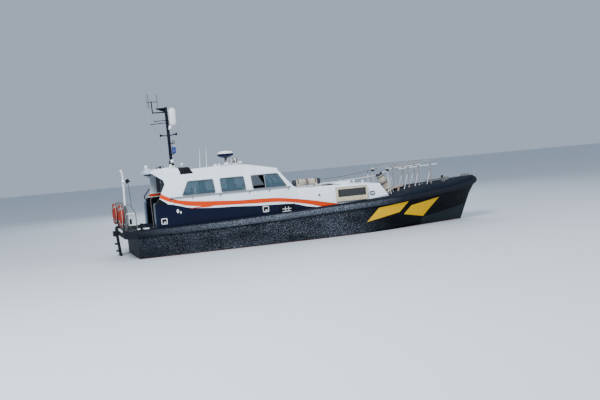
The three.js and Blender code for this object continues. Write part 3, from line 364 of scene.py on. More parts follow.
# Painted lines along the side, as X and Z points from the stern forward
ORANGE_TOP = [
    (-6.3, 2.50), (-5.70, 2.23), (-5.49, 2.11), (-5.18, 1.97), (-4.87, 1.90), (-4.23, 1.82),
    (-3.58, 1.77), (-2.99, 1.725), (-2.07, 1.70), (-1.45, 1.67), (-0.86, 1.59), (-0.28, 1.49),
    (0.51, 1.32), (1.07, 1.205), (3.2, 0.80),
]
ORANGE_FOOT = [
    (-6.3, 2.32), (-5.74, 2.07), (-5.41, 1.91), (-5.01, 1.78), (-4.72, 1.70), (-3.83, 1.62),
    (-3.00, 1.58), (-2.08, 1.54), (-1.46, 1.52), (-0.88, 1.45), (-0.29, 1.33), (0.50, 1.16),
    (1.07, 1.20), (3.2, 0.92),
]
NAVY_TOP = [
    (-6.3, 1.83), (-5.91, 1.83), (-5.42, 1.82), (-5.04, 1.73), (-4.73, 1.64), (-3.94, 1.555),
    (-3.00, 1.51), (-2.09, 1.45), (-1.47, 1.43), (-0.84, 1.39), (-0.30, 1.25), (0.09, 1.18),
    (1.25, 0.98), (3.2, 0.70),
]
ORANGE_TAIL = [(-4.72, 1.605), (-4.00, 1.585), (-3.75, 1.62), (-4.10, 1.66)]
WING_SHADOW = [(-5.99, 1.820), (-5.44, 1.828), (-5.74, 2.050), (-5.99, 2.050)]
HOUSE_FOOT = [
    (-6.3, 0.965), (-4.93, 1.00), (-3.05, 1.055), (-1.50, 1.105), (-0.71, 1.15), (0.09, 1.18),
    (1.17, 1.205), (2.0, 1.255), (2.96, 1.365), (3.2, 1.39),
]


def gelcoat(name, white=HOUSE_WHITE):
    """White gelcoat, a little grimed in streaks that run down it."""
    coat = Finish(name, white, 0.24, shine=0.2)
    streaks = coat.fade(coat.noise(3.2, 5, (1.5, 1.5, 0.25)), 0.50, 0.80)
    coat.coat(coat.both(streaks, 0.30), (0.58, 0.59, 0.58))
    coat.stained((30, 4), 0.6, 0.8, 0.15, (0.45, 0.45, 0.43))
    coat.worn((6, 5), 0.18, 0.36)
    coat.grained((1.6, 2), 0.004)
    return coat


def livery(coat, outside):
    """The painted side, laid only where the mask says that the skin is outside."""
    over_navy = coat.over(NAVY_TOP)
    coat.coat(coat.both(coat.flip(over_navy), outside), NAVY)
    stripe = coat.both(coat.over(ORANGE_FOOT), coat.flip(coat.over(ORANGE_TOP)), outside)
    coat.coat(stripe, ORANGE)
    coat.coat(coat.both(coat.flip(coat.over(HOUSE_FOOT)), outside), FOOT_GREY)
    return coat


HOUSE_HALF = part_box("wheelhouse")[1].y
KNUCKLE_Z = 1.95
LEAN = 0.208
WALL = 0.050
BULKHEAD_X = -5.0
HOUSE_AFT_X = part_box("wheelhouse")[0].x
SCREEN_BACK_X, SCREEN_BACK_LEAN = -0.70, -0.795           # the windscreen's inner face: foot, X for each Z
PANEL_TOP = 1.93              # top of the after panels under the open wings
# The after end faces are navy painted lighter, to a blue-grey, as a painted highlight of sky light, lighter
# still at the port edge.
PANEL_HIGHLIGHT_BLUE = (0.045, 0.060, 0.090)
PORT_PANEL_HIGHLIGHT_BLUE = (0.060, 0.085, 0.13)
WING_TOP = 2.90               # the wings' inner faces: black painted shade below, then an orange band, then greys of painted shade
WING_SHADE_BLACK, WING_SHADE_BLACK_TOP = (0.003, 0.004, 0.007), 2.035
WING_BAND_Z, WING_BAND_HALF = 2.115, 0.050
WING_SHADE_GREY_FOOT = 2.20
WING_SHADE_GREYS = [(-5.40, (0.13, 0.135, 0.165)), (-5.25, (0.36, 0.38, 0.42))]         # greys of painted shade near the bulkhead: from X forward, colour
WING_SHADE = (0.004, 0.005, 0.008)
BULKHEAD_NAVY = (0.012, 0.016, 0.028)
TRUNK_SIDE_Y = 1.35           # the trunk cabin's sides lie outside this


def house_half(z):
    """Half breadth of the wheelhouse at a height."""
    return HOUSE_HALF - max(0.0, z - KNUCKLE_Z) * LEAN


house = gelcoat("house_gelcoat")
over_knuckle = house.sum("MAXIMUM", 0.0, house.sum("SUBTRACT", house.z, KNUCKLE_Z))
skin = house.sum("ADD", house.sum("ABSOLUTE", house.y), house.sum("MULTIPLY", over_knuckle, LEAN))
outer_side = house.above(skin, HOUSE_HALF - WALL * 0.5)
inner = house.flip(outer_side)
wing_inside = house.both(house.below(house.x, BULKHEAD_X - 0.02), inner, house.below(house.z, WING_TOP))
# The windscreen's inner face runs parallel to its outer one.
over_sill = house.sum("SUBTRACT", house.z, KNUCKLE_Z)
screen_back = house.sum("ADD", SCREEN_BACK_X, house.sum("MULTIPLY", over_sill, SCREEN_BACK_LEAN))
behind_screen = house.below(house.x, house.sum("SUBTRACT", screen_back, 0.030))
in_cabin = house.both(house.above(house.x, BULKHEAD_X + 0.02), inner, behind_screen)
house.coat(in_cabin, SHADED_LINING)
livery(house, outer_side)
# Painted shade on the wings' inner faces: black under the orange band, and darker greys above it near the
# bulkhead.
house.coat(house.both(wing_inside, house.below(house.z, WING_SHADE_BLACK_TOP)), WING_SHADE_BLACK)
house.coat(house.both(wing_inside, house.near(house.z, WING_BAND_Z, WING_BAND_HALF)), ORANGE)
over_band = house.both(wing_inside, house.above(house.z, WING_SHADE_GREY_FOOT))
for from_x, grey in WING_SHADE_GREYS:
    house.coat(house.both(over_band, house.above(house.x, from_x)), grey)
house.coat(house.both(house.near(house.x, BULKHEAD_X, 0.004), inner), BULKHEAD_NAVY)
house.coat(house.both(house.inside(ORANGE_TAIL), outer_side), ORANGE)
house.coat(house.both(house.inside(WING_SHADOW), outer_side), WING_SHADE)
# Painted highlight: the after end faces below the panel top, and the port edge inside.
house.coat(house.both(house.below(house.x, HOUSE_AFT_X + 0.012), house.below(house.z, PANEL_TOP)), PANEL_HIGHLIGHT_BLUE)
port_edge = house.both(house.below(house.x, HOUSE_AFT_X + 0.11), house.above(house.y, 0))
house.coat(house.both(port_edge, inner, house.below(house.z, PANEL_TOP)), PORT_PANEL_HIGHLIGHT_BLUE)
keep("wheelhouse", house, 0.007)

trunk = gelcoat("trunk_gelcoat", TRUNK_WHITE)
livery(trunk, trunk.above(trunk.sum("ABSOLUTE", trunk.y), TRUNK_SIDE_Y))
keep("trunk_cabin", trunk, 0.012)
roof_coat = gelcoat("roof_gelcoat")
# The roof's underside is darkened with the lining, as painted shade.
facing_down = roof_coat.below(roof_coat.facing(2), -0.5)
under_roof = roof_coat.both(facing_down, roof_coat.below(roof_coat.sum("ABSOLUTE", roof_coat.y), 1.40))
roof_coat.coat(under_roof, SHADED_LINING)
keep("wheelhouse_roof", roof_coat, None, turn=38)

# Glass: toughened panes set in the walls, lightly tinted, so that the cabin shows through them.
# Each is held by a rubber-bedded alloy frame with rounded corners, and a bar stands where the forward
# pane slides.
glass = Finish("tinted_glass", (0.07, 0.13, 0.17), 0.03)
glass.shader.inputs["Alpha"].default_value = 0.38
glass.shader.inputs["Specular IOR Level"].default_value = 0.7
for name in nodes:
    if name.startswith(("side_pane", "windscreen")):
        keep(name, glass, None)


def rounded(corners, radius, steps=5, closed=False):
    """The corners of a path, each turned into a curve of about that radius."""
    points = [Vector(corner) for corner in corners]
    count = len(points)
    path = []
    for i, corner in enumerate(points):
        if not closed and i in (0, count - 1):
            path.append(corner)
            continue
        before, after = points[i - 1], points[(i + 1) % count]
        back = min(radius, (before - corner).length * 0.45, (after - corner).length * 0.45)
        start = corner + (before - corner).normalized() * back
        end = corner + (after - corner).normalized() * back
        for k in range(steps + 1):
            t = k / steps
            path.append(start * (1 - t) ** 2 + corner * 2 * t * (1 - t) + end * t ** 2)
    return path


POINT = 0.00001               # radius at which a turned shape ends in a point


def oblong(low, high, foot, head):
    """The corners of an oblong, from the low end of its foot round to the low end of its head."""
    return [(low, foot), (high, foot), (high, head), (low, head)]


def circle(centre, side, other, radius, count):
    """Points round a circle that lies across two directions."""
    turns = [2 * math.pi * k / count for k in range(count)]
    return [centre + (side * math.cos(turn) + other * math.sin(turn)) * radius for turn in turns]


def across(axis):
    """An axis made one metre long, and two directions square to it."""
    along = Vector(axis).normalized()
    side = along.orthogonal().normalized()
    return along, side, along.cross(side)


class Build:
    """Shapes gathered into one mesh, in metres in the boat's frame, which then becomes a piece."""

    def __init__(self):
        self.mesh = bmesh.new()

    def skin(self, rings, closed=False):
        """Close a skin over rows of points that all hold as many points."""
        rows = [[self.mesh.verts.new(point) for point in ring] for ring in rings]
        pairs = list(zip(rows, rows[1:])) + ([(rows[-1], rows[0])] if closed else [])
        for low, high in pairs:
            for i, corner in enumerate(low):
                j = (i + 1) % len(low)
                self.mesh.faces.new((corner, low[j], high[j], high[i]))
        if not closed:
            self.mesh.faces.new(rows[0][::-1])
            self.mesh.faces.new(rows[-1])
        return self

    def tube(self, corners, radius, sides=12, bend=0.0, closed=False):
        """A round bar through some points. The radius may be one for each end, for a taper."""
        path = rounded(corners, bend, closed=closed) if bend else [Vector(corner) for corner in corners]
        first, last = radius if isinstance(radius, tuple) else (radius, radius)
        count = len(path)
        side = (path[1] - path[0]).orthogonal().normalized()
        rings = []
        for i, point in enumerate(path):
            before = path[i - 1] if (i or closed) else point
            after = path[(i + 1) % count] if (i < count - 1 or closed) else point
            along = (after - before).normalized()
            side = (side - along * side.dot(along)).normalized()
            other = along.cross(side)
            thick = first + (last - first) * i / (count - 1)
            rings.append(circle(point, side, other, thick, sides))
        return self.skin(rings, closed)

    def turned(self, profile, at, axis=(0, 0, 1), steps=32):
        """A turned shape: radius and distance along an axis that starts at a point."""
        along, side, other = across(axis)
        rings = []
        for radius, far in profile:
            rings.append(circle(Vector(at) + along * far, side, other, max(radius, POINT), steps))
        return self.skin(rings)

    def ring(self, centre, axis, radius, thick, steps=48, sides=12):
        """A round ring of round section."""
        along, side, other = across(axis)
        return self.tube(circle(Vector(centre), side, other, radius, steps), thick, sides, closed=True)

    def box(self, low, high, tilt=None, about=None):
        """A block between two corners, turned by an Euler about a point if that is given."""
        low, high = Vector(low), Vector(high)
        corners = []
        for z in (low.z, high.z):
            corners.append([Vector((x, y, z)) for x, y in oblong(low.x, high.x, low.y, high.y)])
        if tilt is not None:
            turn = Euler(tilt).to_matrix()
            pivot = Vector(about)
            corners = [[pivot + turn @ (corner - pivot) for corner in row] for row in corners]
        return self.skin(corners)

    def turn(self, tilt, about):
        """Turn all that has been gathered so far, by an Euler about a point."""
        bmesh.ops.rotate(self.mesh, cent=Vector(about), matrix=Euler(tilt).to_matrix(), verts=self.mesh.verts)
        return self

    def slab(self, outline, depth):
        """A flat outline of points made thick by a vector."""
        points = [Vector(point) for point in outline]
        return self.skin([points, [point + Vector(depth) for point in points]])

    def piece(self, name, finish, body="boat", slot=None, replaces=(), bevel=0.0, turn=35):
        """Make the piece: doubles merged, hard edges eased by the bevel and the rest shaded smooth."""
        mesh = self.mesh
        bmesh.ops.remove_doubles(mesh, verts=mesh.verts, dist=0.00003)
        bmesh.ops.recalc_face_normals(mesh, faces=mesh.faces)
        limit = math.radians(turn)
        if bevel:
            hard = [edge for edge in mesh.edges if edge.calc_face_angle(0.0) > limit]
            bmesh.ops.bevel(
                mesh, geom=hard, offset=bevel, segments=2, affect="EDGES", profile=0.6, clamp_overlap=True,
            )
        for edge in mesh.edges:
            edge.smooth = edge.calc_face_angle(0.0) < limit
        for face in mesh.faces:
            face.smooth = True
        data = bpy.data.meshes.new(name)
        mesh.to_mesh(data)
        mesh.free()
        data.materials.append(finish.material)
        made = bpy.data.objects.new(name, data)
        bpy.context.scene.collection.objects.link(made)
        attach(made, body)
        if replaces:
            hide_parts(*replaces)
        return made


SIDES = (("port", 1), ("starboard", -1))
# The clear opening of each side window, from aft: X of its foot's ends, then of its head's ends
SIDE_WINDOWS = [
    ((-4.905, -3.710), (-4.660, -3.750)),
    ((-3.465, -2.570), (-3.480, -2.610)),
    ((-2.290, -1.025), (-2.320, -1.325)),
]
WINDOW_Z = (2.085, 2.570)
FRAME_OUT = 0.022             # how far a frame laps onto the wall
FRAME_IN = 0.014              # how far it laps onto the glass
FRAME_PROUD = 0.009
PANE_CORNER = 0.045
SLIDER_X = -1.82
SLIDER_Z = (2.088, 2.567)
SLIDER_BAR = (-0.018, 0.018, 0, 0.026)    # the bar's section: aft and forward, inner and outer
alloy = Finish("window_alloy", (0.20, 0.22, 0.24), 0.38, 0.5)
alloy.worn((40, 4), 0.28, 0.5)
gasket = Finish("window_rubber", (0.012, 0.012, 0.013), 0.6)
gasket.grained((120, 2), 0.0006)


def pane(foot, head, heights):
    """A pane's corners: the ends of its foot and of its head, and the heights of both."""
    return [(foot[0], heights[0]), (foot[1], heights[0]), (head[1], heights[1]), (head[0], heights[1])]


def flat_ring(build, outline, out, inward, low, high, place):
    """A flat frame that follows a closed outline: place(u, v, lift) gives a point on the wall."""
    loop = rounded([(u, v, 0) for u, v in outline], PANE_CORNER, steps=6, closed=True)
    middle = sum(loop, Vector()) / len(loop)
    rings = []
    for i, point in enumerate(loop):
        along = (loop[(i + 1) % len(loop)] - loop[i - 1]).normalized()
        away = Vector((along.y, -along.x, 0))
        if away.dot(point - middle) < 0:
            away = -away
        wide, narrow = point + away * out, point - away * inward
        rings.append([
            place(wide.x, wide.y, low), place(wide.x, wide.y, high),
            place(narrow.x, narrow.y, high), place(narrow.x, narrow.y, low),
        ])
    return build.skin(rings, closed=True)


for side, sign in SIDES:
    frames, seals = Build(), Build()

    def on_wall(x, z, lift, sign=sign):
        return (x, sign * (house_half(z) + lift), z)

    for foot, head in SIDE_WINDOWS:
        outline = pane(foot, head, WINDOW_Z)
        flat_ring(frames, outline, FRAME_OUT, 0.004, -0.003, FRAME_PROUD, on_wall)
        flat_ring(seals, outline, -0.004, FRAME_IN, -0.016, FRAME_PROUD - 0.004, on_wall)
    frames.skin([[on_wall(SLIDER_X + dx, z, dy - 0.020) for dx, dy in oblong(*SLIDER_BAR)] for z in SLIDER_Z])
    frames.piece(f"window_frames_{side}", alloy, slot="steel", bevel=0.002)
    seals.piece(f"window_seals_{side}", gasket, slot="black_rubber")

# Windscreen frames and wipers: three raked panes, each with an alloy frame, and a black wiper on each pane
# that is driven by a spindle under the glass.
SCREEN_FOOT = (-0.690, 1.950)             # the raked front: X and Z of its foot and head
SCREEN_HEAD = (-1.290, 2.705)
SCREEN_Z = (2.060, 2.640)
# Each pane's corners across the boat: foot from and to, head from and to
SCREENS = [
    ((0.530, 1.390), (0.530, 1.300)),
    ((-0.450, 0.450), (-0.450, 0.450)),
    ((-1.390, -0.530), (-1.300, -0.530)),
]
SPINDLE = [(0, 0), (0.024, 0), (0.024, 0.022), (0.012, 0.034), (0, 0.034)]
SPINDLE_Z = 2.03
rake = Vector((SCREEN_HEAD[0] - SCREEN_FOOT[0], 0, SCREEN_HEAD[1] - SCREEN_FOOT[1])).normalized()
screen_out = Vector((rake.z, 0, -rake.x))


def on_screen(y, z, lift):
    up = (z - SCREEN_FOOT[1]) / rake.z
    return Vector((SCREEN_FOOT[0], y, SCREEN_FOOT[1])) + rake * up + screen_out * lift


screen_frames, screen_seals, wipers = Build(), Build(), Build()
for foot, head in SCREENS:
    outline = pane(foot, head, SCREEN_Z)
    flat_ring(screen_frames, outline, FRAME_OUT, 0.004, -0.003, FRAME_PROUD, on_screen)
    flat_ring(screen_seals, outline, -0.004, FRAME_IN, -0.020, FRAME_PROUD - 0.004, on_screen)
    middle = (foot[0] + foot[1]) / 2
    wipers.turned(SPINDLE, on_screen(middle, SPINDLE_Z, 0.0), screen_out, 16)
    for y in (middle - 0.016, middle + 0.016):
        wipers.tube([on_screen(y, SPINDLE_Z, 0.030), on_screen(y + 0.20, 2.33, 0.034)], 0.005, 8)
    wipers.tube([on_screen(middle + 0.16, 2.12, 0.026), on_screen(middle + 0.24, 2.56, 0.026)], 0.008, 8)
screen_frames.piece("windscreen_frames", alloy, slot="steel", bevel=0.002)
screen_seals.piece("windscreen_seals", gasket, slot="black_rubber")
wipers.piece("windscreen_wipers", gasket, slot="black_rubber")

# Side fittings, alike on both sides: white plastic mouldings screwed to the house. Each side has two square
# recesses with a latch, a dark air intake behind a white guard, two small oval lamps, and a white fitting
# inside the after wing. On the trunk cabin's side are a dark drain and a dark-rimmed vent.
white_plastic = Finish("white_moulding", (0.78, 0.80, 0.81), 0.35)
white_plastic.stained((18, 4), 0.5, 0.8, 0.3, (0.5, 0.5, 0.47))
white_plastic.worn((20, 4), 0.25, 0.5)
dark_recess = Finish("recess_shadow_paint", (0.0035, 0.004, 0.009), 0.7, shine=0.1)
dark_recess.grained((80, 3), 0.001)
# Shapes on the side, each as its ends in X and its foot and head in Z
RECESSES = [(-5.75, -5.53, 1.13, 1.34), (-2.01, -1.78, 1.19, 1.41)]
LATCH = (-0.020, 0.055, -0.060, -0.020)   # from the middle of its recess
INTAKE = (-1.39, -0.77, 1.05, 1.40)
TRUNK_VENT = (2.265, 2.445, 1.435, 1.565)
VENT_MIDDLE = (2.32, 2.39, 1.48, 1.52)
GUARD_POSTS, GUARD_BARS = (-1.15, -1.03), (1.145, 1.235)
OVAL_LAMPS = [(-5.13, 1.55, 0.042, 0.070), (-5.025, 1.495, 0.028, 0.040)]          # X, Z, half breadths
DRAIN = [(0, 0), (0.035, 0), (0.035, 0.012), (0, 0.012)]
for side, sign in SIDES:
    rims, darks = Build(), Build()

    def on_side(x, z, lift, sign=sign):
        return (x, sign * (HOUSE_HALF + lift), z)

    for recess in RECESSES:
        outline = oblong(*recess)
        flat_ring(rims, outline, 0.0, 0.027, -0.002, 0.012, on_side)
        x, z = (recess[0] + recess[1]) / 2, (recess[2] + recess[3]) / 2
        darks.slab([on_side(u, v, -0.002) for u, v in outline], (0, sign * 0.005, 0))
        rims.slab([on_side(x + dx, z + dz, 0.0) for dx, dz in oblong(*LATCH)], (0, sign * 0.010, 0))
    darks.slab([on_side(u, v, -0.002) for u, v in oblong(*INTAKE)], (0, sign * 0.006, 0))
    skin_y = sign * HOUSE_HALF
    for x in GUARD_POSTS:
        rims.box((x - 0.011, skin_y - 0.011, 1.09), (x + 0.011, skin_y + 0.011, 1.31))
    for z in GUARD_BARS:
        rims.box((-1.27, skin_y - 0.010, z - 0.010), (-0.93, skin_y + 0.010, z + 0.010))
    for x, z, wide, tall in OVAL_LAMPS:
        unit_ring = circle(Vector(), Vector((1, 0, 0)), Vector((0, 0, 1)), 1.0, 20)
        oval = [on_side(x + wide * point.x, z + tall * point.z, -0.002) for point in unit_ring]
        rims.slab(oval, (0, sign * 0.024, 0))
    darks.turned(DRAIN, (0.21, sign * 1.640, 1.62), (0, sign, 0), 20)

    def on_trunk(x, z, lift, sign=sign):
        return (x, sign * (1.568 - (z - 1.5) * 0.16 - (x - 2.35) * 0.10 + lift), z)

    flat_ring(darks, oblong(*TRUNK_VENT), 0.006, 0.022, -0.002, 0.012, on_trunk)
    rims.slab([on_trunk(x, z, 0.0) for x, z in oblong(*VENT_MIDDLE)], (0, sign * 0.010, 0))
    rims.box((-5.235, sign * 1.458 - 0.020, 2.52), (-5.195, sign * 1.458 + 0.020, 2.64))
    rims.piece(f"side_fittings_{side}", white_plastic, slot="white_plastic", bevel=0.003)
    darks.piece(f"side_recesses_{side}", dark_recess, slot="black_paint", bevel=0.001)

# Running gear: on each side a four-bladed bronze propeller on a steel shaft, held by a bracket, with a
# steel spade rudder behind it. Zinc anodes are bolted to the sides of the skeg.
bronze = Finish("propeller_bronze", (0.36, 0.19, 0.06), 0.32, 0.95)
bronze.stained((9, 5), 0.5, 0.75, 0.7, (0.10, 0.13, 0.08))
bronze.worn((14, 4), 0.22, 0.55)
bronze.grained((60, 3), 0.001)
shaft_steel = Finish("shaft_steel", (0.30, 0.29, 0.27), 0.35, 0.9)
shaft_steel.stained((16, 5), 0.5, 0.8, 0.6, (0.12, 0.09, 0.06))
shaft_steel.worn((20, 4), 0.25, 0.6)
rudder_paint = Finish("rudder_antifouling", (0.10, 0.024, 0.020), 0.7)
rudder_paint.stained((7, 6), 0.45, 0.7, 0.6, (0.035, 0.030, 0.026))
rudder_paint.grained((50, 3), 0.002)
for side, sign in SIDES:
    keep(f"propeller_{side}", bronze, None, turn=40)
    keep(f"shaft_{side}", shaft_steel, None, turn=40)
    keep(f"rudder_{side}", rudder_paint, 0.008)
zinc = Finish("anode_zinc", (0.42, 0.43, 0.43), 0.6, 0.5)
zinc.coat(zinc.fade(zinc.noise(30, 5), 0.45, 0.7), (0.25, 0.25, 0.24))
zinc.grained((70, 4), 0.003)
ANODE = [(0, 0), (0.060, 0), (0.070, 0.008), (0.062, 0.024), (0.020, 0.030), (0.014, 0.036), (0, 0.036)]
skeg_anodes = Build()
skeg_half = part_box("keel_skeg")[1].y
for side, sign in SIDES:
    for x in (-4.2, -2.2, 1.4):
        skeg_anodes.turned(ANODE, (x, sign * (skeg_half - 0.002), -0.88), (0, sign, 0), 24)
skeg_anodes.piece("skeg_anodes", zinc, slot="galvanised")

# Cabin door: a plate door on two pinned hinges, painted navy, with a pull handle and a small window
# of round-cornered glass clamped in a rubber-bedded alloy ring.
door_paint = Finish("door_navy_paint", (0.004, 0.008, 0.024), 0.42, shine=0.2)
door_paint.stained((20, 5), 0.55, 0.8, 0.4, (0.012, 0.018, 0.034))
door_paint.worn((12, 4), 0.3, 0.55)
keep("cabin_door", door_paint, 0.003)
DOOR_AFT = -5.045
door_glass = oblong(-0.20, 0.20, 2.02, 2.58)              # Y and Z
door_ring, door_pane = Build(), Build()
flat_ring(door_ring, door_glass, 0.030, 0.010, -0.002, 0.010, lambda y, z, lift: (DOOR_AFT - lift, y, z))
door_edge = rounded([(y, z, 0) for y, z in door_glass], PANE_CORNER, closed=True)
door_pane.slab([(DOOR_AFT + 0.001, point.x, point.y) for point in door_edge], (-0.005, 0, 0))
door_ring.piece("door_window_frame", alloy, body="door", slot="steel", bevel=0.002)
dark_glass = Finish("door_window_glass", (0.02, 0.035, 0.045), 0.05)
dark_glass.worn((4, 2), 0.03, 0.08)
door_pane.piece("door_window_glass", dark_glass, body="door", slot="tinted_glass")

# Helm: a moulded console with three hooded screens, a switch panel and two throttle levers, a steering
# wheel on a raked column, and a compass on the ledge under the windscreen.
console_finish = Finish("console_vinyl_black", (0.012, 0.013, 0.016), 0.6, shine=0.25)
console_finish.grained((260, 3), 0.0008)
console_finish.worn((30, 3), 0.5, 0.7)
keep("helm_console", console_finish, 0.012)
wheel_grip = Finish("wheel_black_grip", (0.014, 0.014, 0.015), 0.55)
wheel_grip.grained((300, 2), 0.0006)
keep("helm_wheel", wheel_grip, None, turn=45)
console_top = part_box("helm_console")[1].z
HOODS_Y = (-1.22, -0.86, -0.50)
HOOD_TILT = (0, -0.25, 0)
SWITCHES = 6
LEVERS_Y = (-0.52, -0.44)
LEVER_KNOB = [(0, 0), (0.018, 0.004), (0.022, 0.018), (0.014, 0.034), (0, 0.038)]
COMPASS = [(0.060, 0), (0.062, 0.012), (0.052, 0.020), (0.046, 0.060), (0.028, 0.078), (0, 0.084)]
screens, fascia, levers = Build(), Build(), Build()
for y in HOODS_Y:
    foot = (-1.16, y, console_top)
    hood = (-1.20, y - 0.16, console_top - 0.002), (-1.12, y + 0.16, console_top + 0.24)
    screen = (-1.206, y - 0.14, console_top + 0.02), (-1.198, y + 0.14, console_top + 0.22)
    fascia.box(*hood, HOOD_TILT, foot)
    screens.box(*screen, HOOD_TILT, foot)
for i in range(SWITCHES):
    y = -1.16 + i * 0.06
    fascia.box((-1.465, y - 0.018, 1.905), (-1.425, y + 0.018, 1.945))
for y in LEVERS_Y:
    levers.tube([(-1.40, y, 1.93), (-1.42, y, 2.02), (-1.45, y, 2.08)], 0.008, 10, 0.02)
    levers.turned(LEVER_KNOB, (-1.45, y, 2.075), (-0.4, 0, 1), 16)
levers.turned(COMPASS, (-1.16, 0.0, 1.93), steps=24)
fascia.piece("console_hoods", console_finish, slot="dark_vinyl", bevel=0.004)
levers.piece("console_levers", wheel_grip, slot="black_rubber")
screen_glass = Finish("screen_dark_glass", (0.010, 0.020, 0.030), 0.08)
screen_glass.coat(screen_glass.fade(screen_glass.noise(7, 2), 0.4, 0.7), (0.015, 0.045, 0.06))
screens.piece("console_screens", screen_glass, slot="tinted_glass", bevel=0.001)

# Seats: two pedestal seats and a bench, padded with foam under dark blue-grey vinyl. Each cushion is
# swelled by air pressure inside its cover, as the foam fills it, and sits on a moulded white shell.
vinyl = Finish("seat_vinyl", (0.040, 0.055, 0.085), 0.5)
vinyl.stained((24, 5), 0.5, 0.8, 0.4, (0.075, 0.085, 0.11))
vinyl.grained((340, 3), 0.0009)
vinyl.worn((40, 3), 0.42, 0.62)
shell_white = Finish("seat_shell_white", (0.55, 0.56, 0.57), 0.45)
shell_white.grained((140, 3), 0.0005)
shell_white.worn((20, 3), 0.35, 0.55)
PAD_GRID = 0.016              # size of the cushion mesh's squares
SWELL = 0.020                 # most that a cushion may swell


def cushion(name, low, high, lean=0.0, about=(0, 0, 0)):
    """A foam pad between two corners: it starts slightly small, swells under pressure, and is smoothed."""
    build = Build()
    shrink = Vector((0.012, 0.012, 0.012))
    build.box(Vector(low) + shrink, Vector(high) - shrink, (0, lean, 0), about)
    pad = build.piece(name, vinyl, slot="dark_vinyl", bevel=0.022)
    remesh = pad.modifiers.new("remesh", "REMESH")
    remesh.mode = "VOXEL"
    remesh.voxel_size = PAD_GRID
    remesh.use_smooth_shade = True
    settle(pad)
    before = [vertex.co.copy() for vertex in pad.data.vertices]
    cloth = pad.modifiers.new("cloth", "CLOTH")
    cloth.settings.use_pressure = True
    cloth.settings.uniform_pressure_force = 4.0
    cloth.settings.effector_weights.gravity = 0.0
    cloth.settings.quality = 4
    for moment in range(1, 21):
        bpy.context.scene.frame_set(moment)
    settle(pad)
    bpy.context.scene.frame_set(1)
    for vertex, start in zip(pad.data.vertices, before):
        moved = vertex.co - start
        if moved.length > SWELL:
            vertex.co = start + moved.normalized() * SWELL
    finer = pad.modifiers.new("finer", "SUBSURF")
    finer.levels = finer.render_levels = 1
    for face in pad.data.polygons:
        face.use_smooth = True
    return pad


def settle(piece):
    """Make what the modifiers do final."""
    view = bpy.context.evaluated_depsgraph_get()
    final = bpy.data.meshes.new_from_object(piece.evaluated_get(view))
    piece.modifiers.clear()
    piece.data = final


BACK_LEAN = -0.035            # radians
PEDESTAL = [(0.20, 0), (0.20, 0.02), (0.09, 0.05), (0.075, 0.30), (0.075, 0.50)]
base_z = 1.55                 # top of each seat's base
# Each seat: name, x and y of its middle, half width, number of cushions side by side
SEATS = [
    ("helm_seat", -2.15, -1.01, 0.26, 1),
    ("crew_seat", -2.15, 0.95, 0.26, 1),
    ("bench_starboard", -4.05, -1.00, 0.50, 2),
]
for name, x, y, half, places in SEATS:
    frame_shell = Build()
    foot_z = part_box(name)[0].z
    back_foot = (x - 0.33, y, base_z)
    if places == 1:
        frame_shell.turned(PEDESTAL + [(0.14, base_z - foot_z)], (x, y, foot_z), steps=28)
    else:
        frame_shell.box((x - 0.20, y - half * 0.85, foot_z), (x + 0.20, y + half * 0.85, base_z - 0.03))
    frame_shell.box((x - 0.27, y - half, base_z - 0.03), (x + 0.25, y + half, base_z + 0.02))
    shell_low, shell_high = (x - 0.355, y - half, base_z), (x - 0.315, y + half, base_z + 0.76)
    frame_shell.box(shell_low, shell_high, (0, BACK_LEAN, 0), back_foot)
    if places == 1:
        for arm_y in (y + half + 0.015, y - half - 0.015):
            arm = [(x - 0.30, arm_y, 1.86), (x + 0.02, arm_y, 1.86), (x + 0.10, arm_y, 1.80)]
            frame_shell.tube(arm, 0.017, 10, 0.03)
    frame_shell.piece(f"{name}_frame", shell_white, slot="white_plastic", replaces=(name,), bevel=0.010)
    wide = 2 * half / places
    for place in range(places):
        y0 = y - half + place * wide
        tag = f"{name}_{place + 1}" if places > 1 else name
        cushion(f"{tag}_cushion", (x - 0.23, y0, base_z + 0.015), (x + 0.26, y0 + wide, base_z + 0.125))
        back_low, back_high = (x - 0.325, y0, base_z + 0.11), (x - 0.215, y0 + wide, base_z + 0.78)
        cushion(f"{tag}_back", back_low, back_high, BACK_LEAN, back_foot)

# Roof fittings: small bought-in fittings, screwed down through bedded flanges. They are a black sheet-metal
# vent box with slats at the roof's edge, a round deck light aft with a small globe on it, a lifting hoop,
# a domed receiver on a stem, two whip aerials, a pair of horns and two low domes beside the radome.
black_gloss = Finish("black_deck_paint", (0.004, 0.0045, 0.006), 0.4, shine=0.2)
black_gloss.stained((22, 6), 0.55, 0.78, 0.5, (0.030, 0.030, 0.034))
black_gloss.worn((16, 4), 0.3, 0.6)
black_gloss.grained((60, 3), 0.001)


def top_of(name, x, y):
    """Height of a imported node's upper skin at a place."""
    mesh = nodes[name].data
    points = [point.co for point in mesh.vertices]
    tree = BVHTree.FromPolygons(points, [face.vertices for face in mesh.polygons])
    return tree.ray_cast(Vector((x, y, 9)), Vector((0, 0, -1)))[0].z


